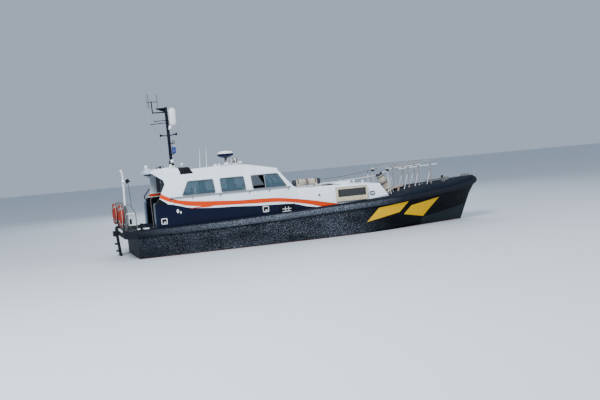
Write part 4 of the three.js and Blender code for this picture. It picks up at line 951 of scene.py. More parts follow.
roof_vent, vent_slats, roof_whites, roof_darks = Build(), Build(), Build(), Build()
VENT_OUT, VENT_IN = -1.465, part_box("roof_vent")[1].y
VENT_SIDE = [(-4.90, 2.820), (-4.42, 2.835), (-4.42, 2.87), (-4.57, 3.09), (-4.90, 3.105)]    # X and Z
SLATS, SLAT_FOOT, SLAT_PITCH = 5, 2.900, 0.026
roof_vent.slab([(x, VENT_OUT, z) for x, z in VENT_SIDE], (0, VENT_IN - VENT_OUT, 0))
roof_vent.piece("roof_vent_box", black_gloss, slot="black_paint", replaces=("roof_vent",), bevel=0.012)
for i in range(SLATS):
    z = SLAT_FOOT + i * SLAT_PITCH
    vent_slats.box((-4.86, VENT_OUT - 0.008, z), (-4.60, VENT_OUT + 0.004, z + 0.010))
vent_slats.piece("roof_vent_slats", black_gloss, slot="black_paint", bevel=0.001)
DECK_LIGHT = Vector((-6.02, -1.10, 3.02))
DECK_LIGHT_BOWL = [
    (0.070, -0.130), (0.118, -0.125), (0.142, -0.060), (0.146, 0.020), (0.128, 0.085), (0.070, 0.130),
    (0, 0.140),
]
DECK_LIGHT_GLOBE = [
    (0.024, 0.125), (0.042, 0.138), (0.052, 0.165), (0.053, 0.200), (0.042, 0.236), (0.022, 0.252),
    (0, 0.256),
]
DECK_LIGHT_GREY = (0.40, 0.50, 0.64)
deck_light = Build()
deck_light.turned(DECK_LIGHT_BOWL, DECK_LIGHT)
deck_light.box((-6.00, -1.16, 2.975), (-5.84, -1.04, 3.035))
light_grey = Finish("deck_light_blue_grey", DECK_LIGHT_GREY, 0.4)
light_grey.coat(light_grey.fade(light_grey.z, 2.965, 2.945), (0.010, 0.012, 0.018))       # its dark foot
light_grey.worn((18, 4), 0.3, 0.5)
light_grey.grained((40, 3), 0.0008)
deck_light.piece("aft_deck_light", light_grey, slot="white_plastic", bevel=0.004)
roof_whites.turned(DECK_LIGHT_GLOBE, DECK_LIGHT - Vector((0.03, 0, 0)))
FLANGE = [(0.040, -0.004), (0.040, 0.006), (0.016, 0.012)]
RECEIVER = [(0.013, 0.190), (0.036, 0.205), (0.044, 0.235), (0.036, 0.270), (0.014, 0.290), (0, 0.292)]
RECEIVER_X, RECEIVER_Y = -4.73, -1.0
WHIPS_Y, WHIP_RAKE = -0.9, (0.06, 0, 1)
WHIPS = [(-4.06, 0.73), (-3.81, 0.77)]    # X and height of each
HOOP_Y = -0.6
HOOP = [(-5.61, -0.01), (-5.59, 0.062), (-5.35, 0.062), (-5.33, -0.01)]            # X, height over the roof
HOOP_LAMP = [(0.045, 0), (0.045, 0.02), (0.034, 0.075), (0, 0.095)]
HORN = [
    (0.018, -0.10), (0.020, 0.0), (0.012, 0.03), (0.014, 0.16), (0.024, 0.24), (0.052, 0.29),
    (0.050, 0.288), (0.016, 0.20),
]
DOMES = [(-3.22, -0.34, 0.045), (-3.22, 0.42, 0.07)]      # X, Y and radius of each
receiver_z = top_of("wheelhouse_roof", RECEIVER_X, RECEIVER_Y)
roof_whites.turned(FLANGE + RECEIVER, (RECEIVER_X, RECEIVER_Y, receiver_z))
for x, tall in WHIPS:
    whip = [(0.014, 0.10), (0.010, 0.13), (0.006, 0.45), (0.003, tall), (0, tall + 0.002)]
    roof_whites.turned(FLANGE + whip, (x, WHIPS_Y, top_of("wheelhouse_roof", x, WHIPS_Y)), WHIP_RAKE, 14)
hoop_z = top_of("wheelhouse_roof", -5.41, HOOP_Y)
roof_darks.tube([(x, HOOP_Y, hoop_z + lift) for x, lift in HOOP], 0.014, 12, 0.05)
roof_darks.turned(HOOP_LAMP, (-5.47, HOOP_Y, hoop_z), steps=20)
for y in (-0.16, 0.16):
    horn_z = top_of("wheelhouse_roof", -2.45, y)
    roof_whites.box((-2.50, y - 0.02, horn_z - 0.004), (-2.44, y + 0.02, horn_z + 0.05))
    roof_whites.turned(HORN, (-2.60, y, horn_z + 0.07), (1, 0, 0.04), 24)
for x, y, radius in DOMES:
    dome = [(radius, -0.004), (radius, 0.03), (radius * 0.9, 0.06), (radius * 0.5, 0.085), (0, 0.092)]
    roof_whites.turned(dome, (x, y, top_of("wheelhouse_roof", x, y)), steps=24)
roof_whites.piece("roof_white_fittings", white_plastic, slot="white_plastic")
roof_darks.piece("roof_lifting_hoop", black_gloss, slot="black_paint")

# Radome and searchlight: the radome is a white lens-shaped cover on a navy pan, on a tapered foot with a
# bolted flange. The searchlight turns on its post, and has a finned drum, a yoke and a glass front.
PAN_TOP, PAN_NAVY = 3.470, (0.0010, 0.0040, 0.024)
STEM_TOP, STEM_BROWN = 3.285, (0.11, 0.080, 0.085)
radome_skin = Finish("radome_white_and_navy", (0.80, 0.81, 0.82), 0.3, shine=0.12)
radome_skin.stained((30, 4), 0.55, 0.8, 0.2, (0.5, 0.5, 0.48))
radome_skin.coat(radome_skin.below(radome_skin.z, PAN_TOP), PAN_NAVY)
radome_skin.coat(radome_skin.below(radome_skin.z, STEM_TOP), STEM_BROWN)
radome_skin.worn((12, 4), 0.2, 0.4)
radome_skin.grained((2, 2), 0.002)
keep("radome", radome_skin, None, turn=50)
radome_foot = Build()
radome_x = (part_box("radome")[0].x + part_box("radome")[1].x) / 2
foot_z = top_of("wheelhouse_roof", radome_x + 0.12, 0)
RADOME_FOOT = [(0.135, -0.01), (0.135, 0.012), (0.095, 0.018), (0.060, 0.10), (0.047, 0.11)]
BOLT_HEAD = [(0.012, 0), (0.012, 0.010), (0, 0.012)]
radome_foot.turned(RADOME_FOOT, (radome_x, 0, foot_z))
flange_top = Vector((radome_x, 0, foot_z + 0.012))
for bolt in circle(flange_top, Vector((1, 0, 0)), Vector((0, 1, 0)), 0.112, 6):
    radome_foot.turned(BOLT_HEAD, bolt, steps=6)
cable = [(0, -0.05, 0.17), (0.05, -0.09, 0.10), (0.12, -0.13, 0)]          # from the foot's middle
radome_foot.tube([(radome_x + dx, y, foot_z + lift) for dx, y, lift in cable], 0.010, 8, 0.04)
radome_foot.piece("radome_foot", white_plastic, slot="white_plastic")
lamp_skin = Finish("searchlight_enamel", (0.62, 0.60, 0.54), 0.35)
lamp_skin.stained((26, 5), 0.5, 0.75, 0.5, (0.30, 0.27, 0.22))
lamp_skin.grained((40, 3), 0.001)
keep("searchlight", lamp_skin, None, turn=45)
lamp_low, lamp_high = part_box("searchlight")
lamp_y = (lamp_low.y + lamp_high.y) / 2
lamp_z = 3.18
FORWARD = (1, 0, 0)
YOKE_X = -2.69
DRUM_FIN = [(0.080, 0), (0.090, 0.002), (0.090, 0.008), (0.080, 0.010)]
DRUM_RIM = [(0.080, 0), (0.094, 0.002), (0.094, 0.028), (0.074, 0.030), (0.074, 0.020)]
YOKE_ARM = [(0, 3.085), (0.07, 3.09), (0.098, 3.12), (0.098, 3.19)]        # reach from the middle, Z
YOKE_KNOB = [(0.022, 0), (0.022, 0.014), (0, 0.016)]
SEARCHLIGHT_LENS = [(0.072, 0), (0.072, 0.004), (0.040, 0.010), (0, 0.012)]
lamp_rings, lamp_glass = Build(), Build()
for i in range(5):
    lamp_rings.turned(DRUM_FIN, (lamp_low.x + 0.018 + i * 0.020, lamp_y, lamp_z), FORWARD)
lamp_rings.turned(DRUM_RIM, (lamp_high.x - 0.016, lamp_y, lamp_z), FORWARD)
for sign in (1, -1):
    lamp_rings.tube([(YOKE_X, lamp_y + sign * reach, z) for reach, z in YOKE_ARM], 0.010, 10, 0.03)
    lamp_rings.turned(YOKE_KNOB, (YOKE_X, lamp_y + sign * 0.086, lamp_z), (0, sign, 0), 16)
lamp_rings.piece("searchlight_trim", black_gloss, body="lamp", slot="black_paint")
lamp_glass.turned(SEARCHLIGHT_LENS, (lamp_high.x - 0.001, lamp_y, lamp_z), FORWARD)
clear_lens = Finish("lamp_clear_glass", (0.72, 0.76, 0.80), 0.06, 0.3)
clear_lens.grained((90, 1), 0.002)
lamp_glass.piece("searchlight_glass", clear_lens, body="lamp", slot="tinted_glass")

# Mast: a black alloy pole on a splayed foot, with a plate and a bent aerial arm at its head, two yards,
# a ribbed white radar reflector, loudhailers, and white, blue and running lights on brackets.
MAST_FOOT_TOP, MAST_FOOT_WHITE = 3.19, (0.62, 0.64, 0.66)
mast_paint = Finish("mast_black_paint", (0.002, 0.003, 0.010), 0.35, shine=0.15)
mast_paint.stained((18, 6), 0.56, 0.8, 0.5, (0.020, 0.022, 0.034))
mast_paint.coat(mast_paint.below(mast_paint.z, MAST_FOOT_TOP), MAST_FOOT_WHITE)
mast_paint.worn((14, 4), 0.25, 0.5)
mast_paint.grained((30, 3), 0.001)
keep("mast", mast_paint, None, turn=45)
reflector_white = Finish("reflector_white", (0.74, 0.75, 0.74), 0.4)
reflector_white.stained((7, 5, (1, 1, 0.4)), 0.45, 0.8, 0.5, (0.50, 0.50, 0.46))
reflector_white.worn((20, 4), 0.3, 0.55)
keep("radar_reflector", reflector_white, None, turn=50)
reflector_low, reflector_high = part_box("radar_reflector")
reflector_x = (reflector_low.x + reflector_high.x) / 2
RIB = [(0.134, -0.014), (0.143, -0.010), (0.146, 0), (0.143, 0.010), (0.134, 0.014)]
ribs = Build()
for share in (0.22, 0.41, 0.60, 0.79):
    z = reflector_low.z + share * (reflector_high.z - reflector_low.z)
    ribs.turned(RIB, (reflector_x, 0, z), steps=40)
ribs.piece("radar_reflector_ribs", reflector_white, slot="white_plastic")
MAST_X = -4.96
LOUDHAILERS = [((-5.15, 0.09, 4.33), (-1, 0.4, 0.1)), ((-4.78, -0.09, 4.34), (1, -0.4, 0.1))]    # place, way
LOUDHAILER = [(0.022, -0.03), (0.024, 0.02), (0.030, 0.06), (0.062, 0.12), (0.060, 0.118), (0.024, 0.05)]
HEAD_PLATE = [(-5.36, -0.055), (-4.93, -0.075), (-4.93, 0.075), (-5.36, 0.055)]    # X and Y
HEAD_GUSSET = [(-5.02, 5.20), (-5.02, 5.32), (-5.34, 5.32)]                        # X and Z
BAND = [(0.050, -0.022), (0.059, -0.020), (0.059, 0.020), (0.050, 0.022)]
BANDS_Z = (3.62, 4.03, 4.31, 4.79, 4.89, 5.19)
mast_darks, mast_wires, mast_lights = Build(), Build(), Build()
for place, way in LOUDHAILERS:
    mast_darks.turned(LOUDHAILER, place, way, 24)
mast_darks.slab([(x, y, 5.345) for x, y in HEAD_PLATE], (0, 0, 0.012))
mast_darks.slab([(x, 0, z) for x, z in HEAD_GUSSET], (0, 0.008, 0))
for z in BANDS_Z:
    mast_darks.turned(BAND, (MAST_X - 0.02 * (z - 3.3) / 2.1, 0, z), steps=28)
mast_darks.tube([(-5.655, 0.03, 5.40), (-5.655, 0.03, 5.88)], 0.006, 8)
mast_darks.tube([(-5.655, 0.03, 5.60), (-5.60, 0.0, 5.60)], 0.006, 8)
mast_darks.piece("mast_fittings", mast_paint, slot="black_paint", bevel=0.001, turn=50)
wire = Finish("aerial_wire", (0.10, 0.10, 0.11), 0.5, 0.5)
wire.grained((400, 2), 0.0004)
mast_wires.tube([(-5.59, 0, 4.775), (-5.42, 0, 4.56), (-5.16, 0.08, 4.35)], 0.003, 6)
down_cable = [(0.045, 0.03, 5.10), (0.052, 0.03, 4.2), (0.062, 0.03, 3.38), (0.10, 0.04, 3.20)]
mast_wires.tube([(MAST_X + dx, y, z) for dx, y, z in down_cable], 0.009, 8)
mast_wires.tube([(-5.46, 0, 4.885), (-5.46, 0, 5.02)], 0.004, 6)
mast_wires.piece("mast_wires", wire, slot="black_rubber")
GLOBE = [
    (0.030, -0.01), (0.042, 0.0), (0.055, 0.03), (0.058, 0.06), (0.048, 0.095), (0.026, 0.115), (0, 0.120),
]
for x, y, z in ((-4.885, -0.06, 4.57), (-4.94, -0.11, 3.30)):
    mast_lights.turned(GLOBE, (x, y, z), steps=24)
    mast_lights.box((MAST_X, y - 0.012, z - 0.02), (x + 0.02, -0.02, z + 0.002))
FOOT_BOSS = [(0.06, -0.01), (0.06, 0.015), (0.045, 0.07), (0.038, 0.13), (0, 0.14)]
for x, y in ((-5.02, -0.16), (-4.86, -0.12), (-4.80, 0.10)):
    mast_lights.turned(FOOT_BOSS, (x, y, top_of("wheelhouse_roof", x, y)), steps=20)
mast_lights.piece("mast_white_lights", white_plastic, slot="white_plastic")
blue_lens = Finish("blue_light_lens", (0.002, 0.036, 0.25), 0.15)
blue_lens.shader.inputs["Transmission Weight"].default_value = 0.25
blue_lens.bump(blue_lens.sum("SINE", blue_lens.sum("MULTIPLY", blue_lens.z, 500.0)), 0.0006)
blue_lens.worn((20, 2), 0.1, 0.2)
BLUE_DOME = [(0.060, 0), (0.073, 0.004), (0.073, 0.190), (0.066, 0.222), (0.040, 0.240), (0, 0.244)]
blue_light = Build()
blue_light.turned(BLUE_DOME, (MAST_X + 0.15, 0, 3.655), steps=36)
blue_light.piece("mast_blue_light", blue_lens, slot="tinted_glass")
running_lens = Finish("running_light_lens", (0.12, 0.11, 0.115), 0.2, 0.2)
running_lens.bump(running_lens.sum("SINE", running_lens.sum("MULTIPLY", running_lens.z, 420.0)), 0.0008)
RUNNING_DRUM = [
    (0.040, 0), (0.056, 0.006), (0.056, 0.020), (0.048, 0.028), (0.050, 0.110), (0.058, 0.118),
    (0.058, 0.140), (0.030, 0.156), (0, 0.158),
]
running_light = Build()
running_light.turned(RUNNING_DRUM, (MAST_X + 0.155, 0, 3.985), steps=32)
running_light.piece("mast_running_light", running_lens, slot="steel")

# Hatches: a white lid on the trunk cabin and a tan one on the foredeck, each on two pinned hinges. The
# moulded lids have a smoked acrylic pane or a non-slip top, two dog handles and a bent grip.
lid_white = gelcoat("trunk_hatch_gelcoat", TRUNK_WHITE)
keep("trunk_hatch", lid_white, 0.006)
hatch_tan = Finish("foredeck_hatch_tan", (0.40, 0.30, 0.24), 0.6)
hatch_tan.stained((14, 6), 0.45, 0.75, 0.6, (0.24, 0.19, 0.16))
hatch_tan.grained((200, 2), 0.002)
hatch_tan.worn((18, 4), 0.5, 0.75)
keep("foredeck_hatch", hatch_tan, 0.006)
# Each lid: name, body, finish and slot of its top, x of its middle, half width, z of its top, tilt in degrees
LIDS = [
    ("trunk_hatch", "trunk_lid", dark_glass, "tinted_glass", 1.65, 0.31, 2.010, 0.0),
    ("foredeck_hatch", "fore_lid", hatch_tan, "cream_plastic", 3.95, 0.27, 1.580, 8.3),
]
DOG = [(0.026, -0.006), (0.026, 0.006), (0.012, 0.010), (0.012, 0.022), (0, 0.024)]
GRIP = [(-0.09, -0.002), (-0.09, 0.045), (0.09, 0.045), (0.09, -0.002)]    # Y, height over the lid
TOP_INSET = 0.10
for name, body, finish, slot, x, half, z, tilt in LIDS:
    top, dogs = Build(), Build()
    rows = []
    for reach, lift in ((half - TOP_INSET, -0.001), (half - TOP_INSET - 0.02, 0.006)):
        rows.append([(x + dx * reach, dy * reach, z + lift) for dx, dy in oblong(-1, 1, -1, 1)])
    top.skin(rows)
    dog_x = x - half + 0.055
    for y in (-half * 0.6, half * 0.6):
        dogs.turned(DOG, (dog_x, y, z - 0.015), steps=20)
        dogs.tube([(dog_x, y - 0.05, z + 0.008), (dog_x, y + 0.05, z + 0.008)], 0.008, 10)
    dogs.tube([(x - 0.06, y, z + lift) for y, lift in GRIP], 0.008, 10, 0.025)
    for part in (top, dogs):
        part.turn((0, -math.radians(tilt), 0), (x, 0, z - 0.05))
    top.piece(f"{name}_top", finish, body=body, slot=slot, bevel=0.002)
    dogs.piece(f"{name}_dogs", alloy, body=body, slot="steel")

# Louvres: a cream moulded frame stands on each side of the trunk cabin, with dark woven mesh behind its
# slats, and a plain lower panel that is held by two knobs.
cream = Finish("cream_moulding", (0.60, 0.53, 0.36), 0.5)
cream.stained((6, 6, (1, 1, 0.5)), 0.42, 0.75, 0.6, (0.44, 0.37, 0.24))
cream.stained((40, 5), 0.6, 0.8, 0.4, (0.25, 0.22, 0.17))
cream.worn((22, 4), 0.4, 0.65)
cream.grained((50, 3), 0.001)
mesh_black = Finish("louvre_mesh", (0.030, 0.032, 0.036), 0.7)
WEAVE = 700.0                 # radians of the weave to a metre
weave_x = mesh_black.sum("SINE", mesh_black.sum("MULTIPLY", mesh_black.x, WEAVE))
weave_z = mesh_black.sum("SINE", mesh_black.sum("MULTIPLY", mesh_black.z, WEAVE))
weave = mesh_black.sum("MAXIMUM", weave_x, weave_z)
mesh_black.coat(mesh_black.both(mesh_black.fade(weave, 0.6, 0.95), 0.4), (0.09, 0.09, 0.10))
mesh_black.bump(weave, 0.001)
# Shapes on the frame, each as its ends in X and its foot and head in Z
SLATTED, SLAT_BLACK = (0.930, 2.050, 1.462, 1.752), (0.022, 0.024, 0.026)
FRAME_FACE, FRAME_EDGE_SHADE_GREY = (0.855, 2.120, 1.305, 1.800), (0.20, 0.19, 0.16)
MESH = (0.975, 2.025, 1.512, 1.733)
LOUVRE_OUT = 1.6995           # Y of the frame's face
KNOBS_X, KNOB_Z = (1.16, 1.84), 1.375
LOUVRE_KNOB = [(0.026, -0.004), (0.026, 0.006), (0.014, 0.010), (0.020, 0.024), (0.018, 0.034), (0, 0.036)]
cream.coat(cream.inside(oblong(*SLATTED)), SLAT_BLACK)
# The frame's rim outside its face is darkened to a brownish grey as painted shade.
frame_edge = cream.flip(cream.inside(oblong(*FRAME_FACE)))
cream.coat(cream.both(frame_edge, 0.7), FRAME_EDGE_SHADE_GREY)
for side, sign in SIDES:
    keep(f"louvre_{side}", cream, 0.006)
    out = LOUVRE_OUT * sign
    screen, knobs = Build(), Build()
    screen.slab([(x, out - sign * 0.050, z) for x, z in oblong(*MESH)], (0, sign * 0.030, 0))
    screen.piece(f"louvre_mesh_{side}", mesh_black, slot="black_paint")
    for x in KNOBS_X:
        knobs.turned(LOUVRE_KNOB, (x, out, KNOB_Z), (0, sign, 0), 20)
    knobs.box((0.90, out - 0.006, 1.430), (2.08, out + 0.006, 1.446))
    knobs.piece(f"louvre_knobs_{side}", cream, slot="cream_plastic", bevel=0.002)

# Trunk cabin top: two strips of grey non-slip walkway laid on the moulding, one to each side, a low black
# cable tray by the raft on the starboard side, and four white moulded vent cowls on bedded flanges.
walkway = Finish("non_slip_grey", (0.26, 0.27, 0.28), 0.85)
walkway.stained((5, 5), 0.4, 0.7, 0.5, (0.17, 0.175, 0.18))
walkway.grained((320, 2), 0.003)
WALKWAY_X, WALKWAY_STEPS = (-0.35, 1.25), 6               # each strip follows the roof in so many steps
WALKWAYS_Y = [(0.55, 1.25), (-1.25, -0.72)]
TREAD_TOP, TREAD_FOOT = 0.002, -0.004     # over the roof's skin
TRAY_X, TRAY_Y = (0.55, 1.02), -0.9
COWLS = [(2.35, 1.10), (2.60, 1.10), (1.57, -1.05), (2.18, -1.05)]         # X and Y
COWL = [
    (0.055, -0.01), (0.055, 0.008), (0.034, 0.014), (0.030, 0.070), (0.046, 0.085), (0.050, 0.105),
    (0.036, 0.122), (0, 0.126),
]
treads, cable_tray, cowls = Build(), Build(), Build()
for y0, y1 in WALKWAYS_Y:
    rows = []
    for i in range(WALKWAY_STEPS + 1):
        x = WALKWAY_X[0] + (WALKWAY_X[1] - WALKWAY_X[0]) * i / WALKWAY_STEPS
        section = ((y0, TREAD_TOP), (y1, TREAD_TOP), (y1, TREAD_FOOT), (y0, TREAD_FOOT))
        rows.append([(x, y, top_of("trunk_cabin", x, y) + lift) for y, lift in section])
    treads.skin(rows)
treads.piece("trunk_walkways", walkway, slot="black_paint")
tray_z = top_of("trunk_cabin", TRAY_X[0], TRAY_Y)
cable_tray.box((TRAY_X[0], TRAY_Y - 0.05, tray_z - 0.02), (TRAY_X[1], TRAY_Y + 0.05, tray_z + 0.035))
cable_tray.piece("trunk_cable_tray", black_gloss, slot="black_paint", bevel=0.008)
for x, y in COWLS:
    cowls.turned(COWL, (x, y, top_of("trunk_cabin", x, y)), steps=24)
cowls.piece("trunk_cowl_vents", white_plastic, slot="white_plastic")

# Life rafts: glass-reinforced canisters in two halves, cream with dark lashing straps and dark end covers.
# One lies along the trunk cabin's roof, and the other leans on the cabin's forward end.
SHELL_TAN = (0.47, 0.42, 0.33)
MIDDLE_BROWN, MIDDLE_HALF = (0.30, 0.225, 0.19), 0.10         # a stained belt round the middle
COVER_NAVY = (0.008, 0.011, 0.024)
STRAP_SHARES, CORD_SHARE = (0.181, 0.5, 0.819), 0.34      # of the raft's length
# Sections of a strap and of a cord: lift from the shell, shift along it
STRAP = [(0.006, -0.021), (0.0105, -0.019), (0.0105, 0.019), (0.006, 0.021)]
CORD = [(0.001, -0.006), (0.005, -0.005), (0.005, 0.005), (0.001, 0.006)]
BUCKLE = [(0.020, -0.008), (0.024, 0.0), (0.018, 0.010), (0, 0.012)]
BUCKLE_TURNS = (-0.6, 2.3)    # radians round the shell
# Each raft: name, its lower or after end, length, lean from upright in radians, radius, and the lengths
# of the dark covers at its first and last ends
RAFTS = [
    ("liferaft_top", (-0.45, -0.45, 2.112), 1.1, -math.pi / 2, 0.126, 0.12, 0.15),
    ("liferaft_forward", (3.545, -0.38, 1.405), 0.9, 0.49, 0.140, 0.055, 0.110),
]
strap_web = Finish("lashing_strap", (0.035, 0.034, 0.036), 0.8)
strap_web.grained((500, 2), 0.0006)
strap_web.stained((30, 4), 0.5, 0.8, 0.5, (0.10, 0.09, 0.08))
for name, start, long, lean, radius, first_cover, last_cover in RAFTS:
    start = Vector(start)
    along = Vector((-math.sin(lean), 0, math.cos(lean)))
    shell = Finish(f"{name}_shell", SHELL_TAN, 0.45)
    dot = shell.sum("MULTIPLY_ADD", shell.x, along.x, shell.sum("MULTIPLY", shell.z, along.z))
    far = shell.sum("SUBTRACT", dot, along.x * start.x + along.z * start.z)
    shell.stained((9, 6), 0.42, 0.72, 0.7, (0.36, 0.31, 0.22))
    shell.stained((38, 5), 0.58, 0.72, 0.6, (0.16, 0.14, 0.11))
    dark_ends = shell.sum("MAXIMUM", shell.below(far, first_cover), shell.above(far, long - last_cover))
    shell.coat(shell.near(far, long * 0.5, MIDDLE_HALF), MIDDLE_BROWN)
    shell.coat(dark_ends, COVER_NAVY)
    shell.worn((16, 4), 0.35, 0.6)
    shell.grained((26, 4), 0.002)
    keep(name, shell, None, turn=40)
    straps, buckles = Build(), Build()
    side = along.cross(Vector((0, 1, 0))).normalized()
    for share in STRAP_SHARES:
        at = start + along * (long * share)
        straps.turned([(radius + lift, shift) for lift, shift in STRAP], at, along, 40)
        for turn in BUCKLE_TURNS:
            spot = at + (Vector((0, -1, 0)) * math.cos(turn) + side * math.sin(turn)) * (radius + 0.012)
            buckles.turned(BUCKLE, spot, (spot - at).normalized(), 12)
    cord_at = start + along * (long * CORD_SHARE)
    straps.turned([(radius + lift, shift) for lift, shift in CORD], cord_at, along, 40)
    straps.piece(f"{name}_straps", strap_web, slot="dark_vinyl")
    buckles.piece(f"{name}_buckles", alloy, slot="steel")

# Rails: steel tube, welded and clamped. The foredeck rails have a thin upper bar that has tarnished brown
# and a thick white lower bar, on posts that stand in round feet, and a grab rail runs along each house side.
rail_steel = Finish("rail_tarnished_steel", (0.30, 0.235, 0.205), 0.45, 0.4)
rail_steel.stained((16, 6), 0.45, 0.7, 0.7, (0.20, 0.13, 0.10))
rail_steel.worn((24, 4), 0.3, 0.6)
rail_steel.grained((80, 3), 0.0006)
# Lines under the bars, as X and Z points
UPPER_BAR_FOOT = [(2.2, 2.300), (3.35, 2.325), (5.19, 2.435), (6.2, 2.48)]
LOWER_BAR_FOOT = [(2.2, 2.060), (3.35, 2.150), (3.70, 2.200), (4.25, 2.250), (5.19, 2.290), (6.2, 2.330)]
TRUNK_BAR_FOOT = [(-0.6, 2.0), (1.0, 2.0), (2.1, 2.05), (3.35, 2.15), (3.7, 2.2), (4.25, 2.38)]
FOREDECK_FROM_X = 3.0
FORE_POSTS, POST_HALF = (3.760, 4.230, 4.680, 5.190), 0.052
STRUT_FROM_Y = 0.785
TRUNK_RAIL_FROM_Y, TRUNK_RAIL_TO_X = 0.8, 3.7
UPPER_BAR_BROWN = (0.42, 0.37, 0.33)
LOWER_BAR_WHITE = (0.74, 0.75, 0.77)
STRUT_WHITE = (0.66, 0.67, 0.70)
TRUNK_RAIL_WHITE = (0.72, 0.73, 0.74)
TRUNK_RAIL_DARK = (0.13, 0.12, 0.10)
upper_bar = rail_steel.over(UPPER_BAR_FOOT)
lower_bar = rail_steel.both(rail_steel.over(LOWER_BAR_FOOT), rail_steel.flip(upper_bar))
on_foredeck = rail_steel.above(rail_steel.x, FOREDECK_FROM_X)
rail_steel.coat(rail_steel.both(upper_bar, on_foredeck), UPPER_BAR_BROWN)
at_post = 0.0
for x in FORE_POSTS:
    at_post = rail_steel.sum("MAXIMUM", at_post, rail_steel.near(rail_steel.x, x, POST_HALF))
between_posts = rail_steel.both(on_foredeck, rail_steel.flip(at_post), rail_steel.flip(upper_bar))
rail_steel.coat(rail_steel.both(lower_bar, between_posts), LOWER_BAR_WHITE)
strut = rail_steel.above(rail_steel.sum("ABSOLUTE", rail_steel.y), STRUT_FROM_Y)
rail_steel.coat(rail_steel.both(strut, rail_steel.flip(lower_bar), between_posts), STRUT_WHITE)
outboard = rail_steel.above(rail_steel.y, TRUNK_RAIL_FROM_Y)
on_trunk_side = rail_steel.both(outboard, rail_steel.below(rail_steel.x, TRUNK_RAIL_TO_X))
rail_steel.coat(on_trunk_side, TRUNK_RAIL_WHITE)
rail_steel.coat(rail_steel.both(on_trunk_side, rail_steel.over(TRUNK_BAR_FOOT)), TRUNK_RAIL_DARK)
grab_steel = Finish("grab_rail_alloy", (0.26, 0.27, 0.285), 0.42, 0.4)
grab_steel.stained((14, 5), 0.45, 0.75, 0.5, (0.25, 0.24, 0.23))
grab_steel.worn((30, 4), 0.3, 0.55)
CLAMP = [(0.016, -0.022), (0.024, -0.020), (0.026, 0.0), (0.024, 0.020), (0.016, 0.022)]
POST_FOOT = [(0.050, -0.01), (0.050, 0.008), (0.040, 0.012)]
GRAB_CLAMP = [(0.018, -0.03), (0.027, -0.026), (0.027, 0.026), (0.018, 0.03)]
RAIL_Y = 0.78
RAIL_RISE = 0.045             # the foredeck rails climb so much for each metre forward
GRAB_POSTS = (-5.30, -4.55, -3.55, -2.45, -1.70, -0.98)
for side, sign in SIDES:
    keep(f"guard_rail_{side}", rail_steel, None, turn=50)
    keep(f"grab_rail_{side}", grab_steel, None, turn=50)
    clamps = Build()
    for x in FORE_POSTS[1:] if sign > 0 else FORE_POSTS:
        y, rail_z = sign * RAIL_Y, 2.44 + (x - 3.76) * RAIL_RISE
        clamps.turned(CLAMP, (x, y, rail_z - 0.16), steps=16)
        clamps.turned(CLAMP, (x, y, rail_z), (1, 0, RAIL_RISE), steps=16)
        clamps.turned(POST_FOOT, (x, y, top_of("hull", x, y)), steps=20)
    for x in GRAB_POSTS:
        clamps.turned(GRAB_CLAMP, (x, sign * (house_half(2.035) + 0.062), 2.036), FORWARD, 20)
    clamps.piece(f"rail_clamps_{side}", grab_steel, slot="galvanised")

# Deck lamps: two drum floodlights of painted alloy on braced posts just ahead of the trunk cabin. Each drum
# has cooling fins and a dark band, a bezel that holds its glass, and a bent bar on each side that carries it.
LAMP_BAND_Z, LAMP_BAND_HALF, LAMP_BAND_BLACK = 2.275, 0.055, (0.020, 0.022, 0.028)
LAMP_BEZEL = [(0.060, 0), (0.070, 0.003), (0.070, 0.020), (0.056, 0.022)]
LAMP_FIN = [(0.060, 0), (0.067, 0.001), (0.067, 0.006), (0.060, 0.007)]
LAMP_LENS = [(0.055, 0), (0.055, 0.003), (0.030, 0.008), (0, 0.010)]
lamp_grey = Finish("deck_lamp_grey", (0.50, 0.49, 0.47), 0.45, 0.2)
lamp_grey.stained((24, 5), 0.5, 0.75, 0.6, (0.20, 0.16, 0.13))
lamp_grey.coat(lamp_grey.near(lamp_grey.z, LAMP_BAND_Z, LAMP_BAND_HALF), LAMP_BAND_BLACK)
lamp_grey.worn((20, 4), 0.3, 0.6)
for side, sign in SIDES:
    keep(f"deck_lamp_{side}", lamp_grey, None, turn=45)
    trim, glass_front = Build(), Build()
    at = Vector((3.34, 0.79 * sign, 2.33))
    trim.turned(LAMP_BEZEL, at + Vector((0.046, 0, 0)), FORWARD, 28)
    for x in (-0.040, -0.020, 0.0, 0.020):
        trim.turned(LAMP_FIN, at + Vector((x, 0, 0)), FORWARD, 28)
    for reach in (0.076 * sign, -0.076 * sign):
        bar = [(0, -0.10), (reach, -0.06), (reach, 0)]
        trim.tube([at + Vector((0, y, z)) for y, z in bar], 0.008, 8, 0.03)
    glass_front.turned(LAMP_LENS, at + Vector((0.054, 0, 0)), FORWARD, 28)
    trim.piece(f"deck_lamp_trim_{side}", lamp_grey, slot="galvanised")
    glass_front.piece(f"deck_lamp_glass_{side}", clear_lens, slot="tinted_glass")

# Foredeck gear: the stowed anchor with its chain led to the bitt, the bow bitt, a fairlead at the stem,
# pad eyes and a pair of mooring cleats, all galvanised or painted black.
galvanised = Finish("galvanised_steel", (0.17, 0.175, 0.18), 0.5, 0.6)
galvanised.stained((20, 6), 0.45, 0.75, 0.6, (0.24, 0.21, 0.18))
galvanised.stained((7, 5), 0.58, 0.75, 0.6, (0.20, 0.09, 0.04))
galvanised.worn((30, 4), 0.4, 0.7)
galvanised.grained((90, 3), 0.001)
keep("anchor", galvanised, 0.004)
for name in ("bow_bitt", "stern_bitt_port", "stern_bitt_starboard"):
    keep(name, black_gloss, 0.004)


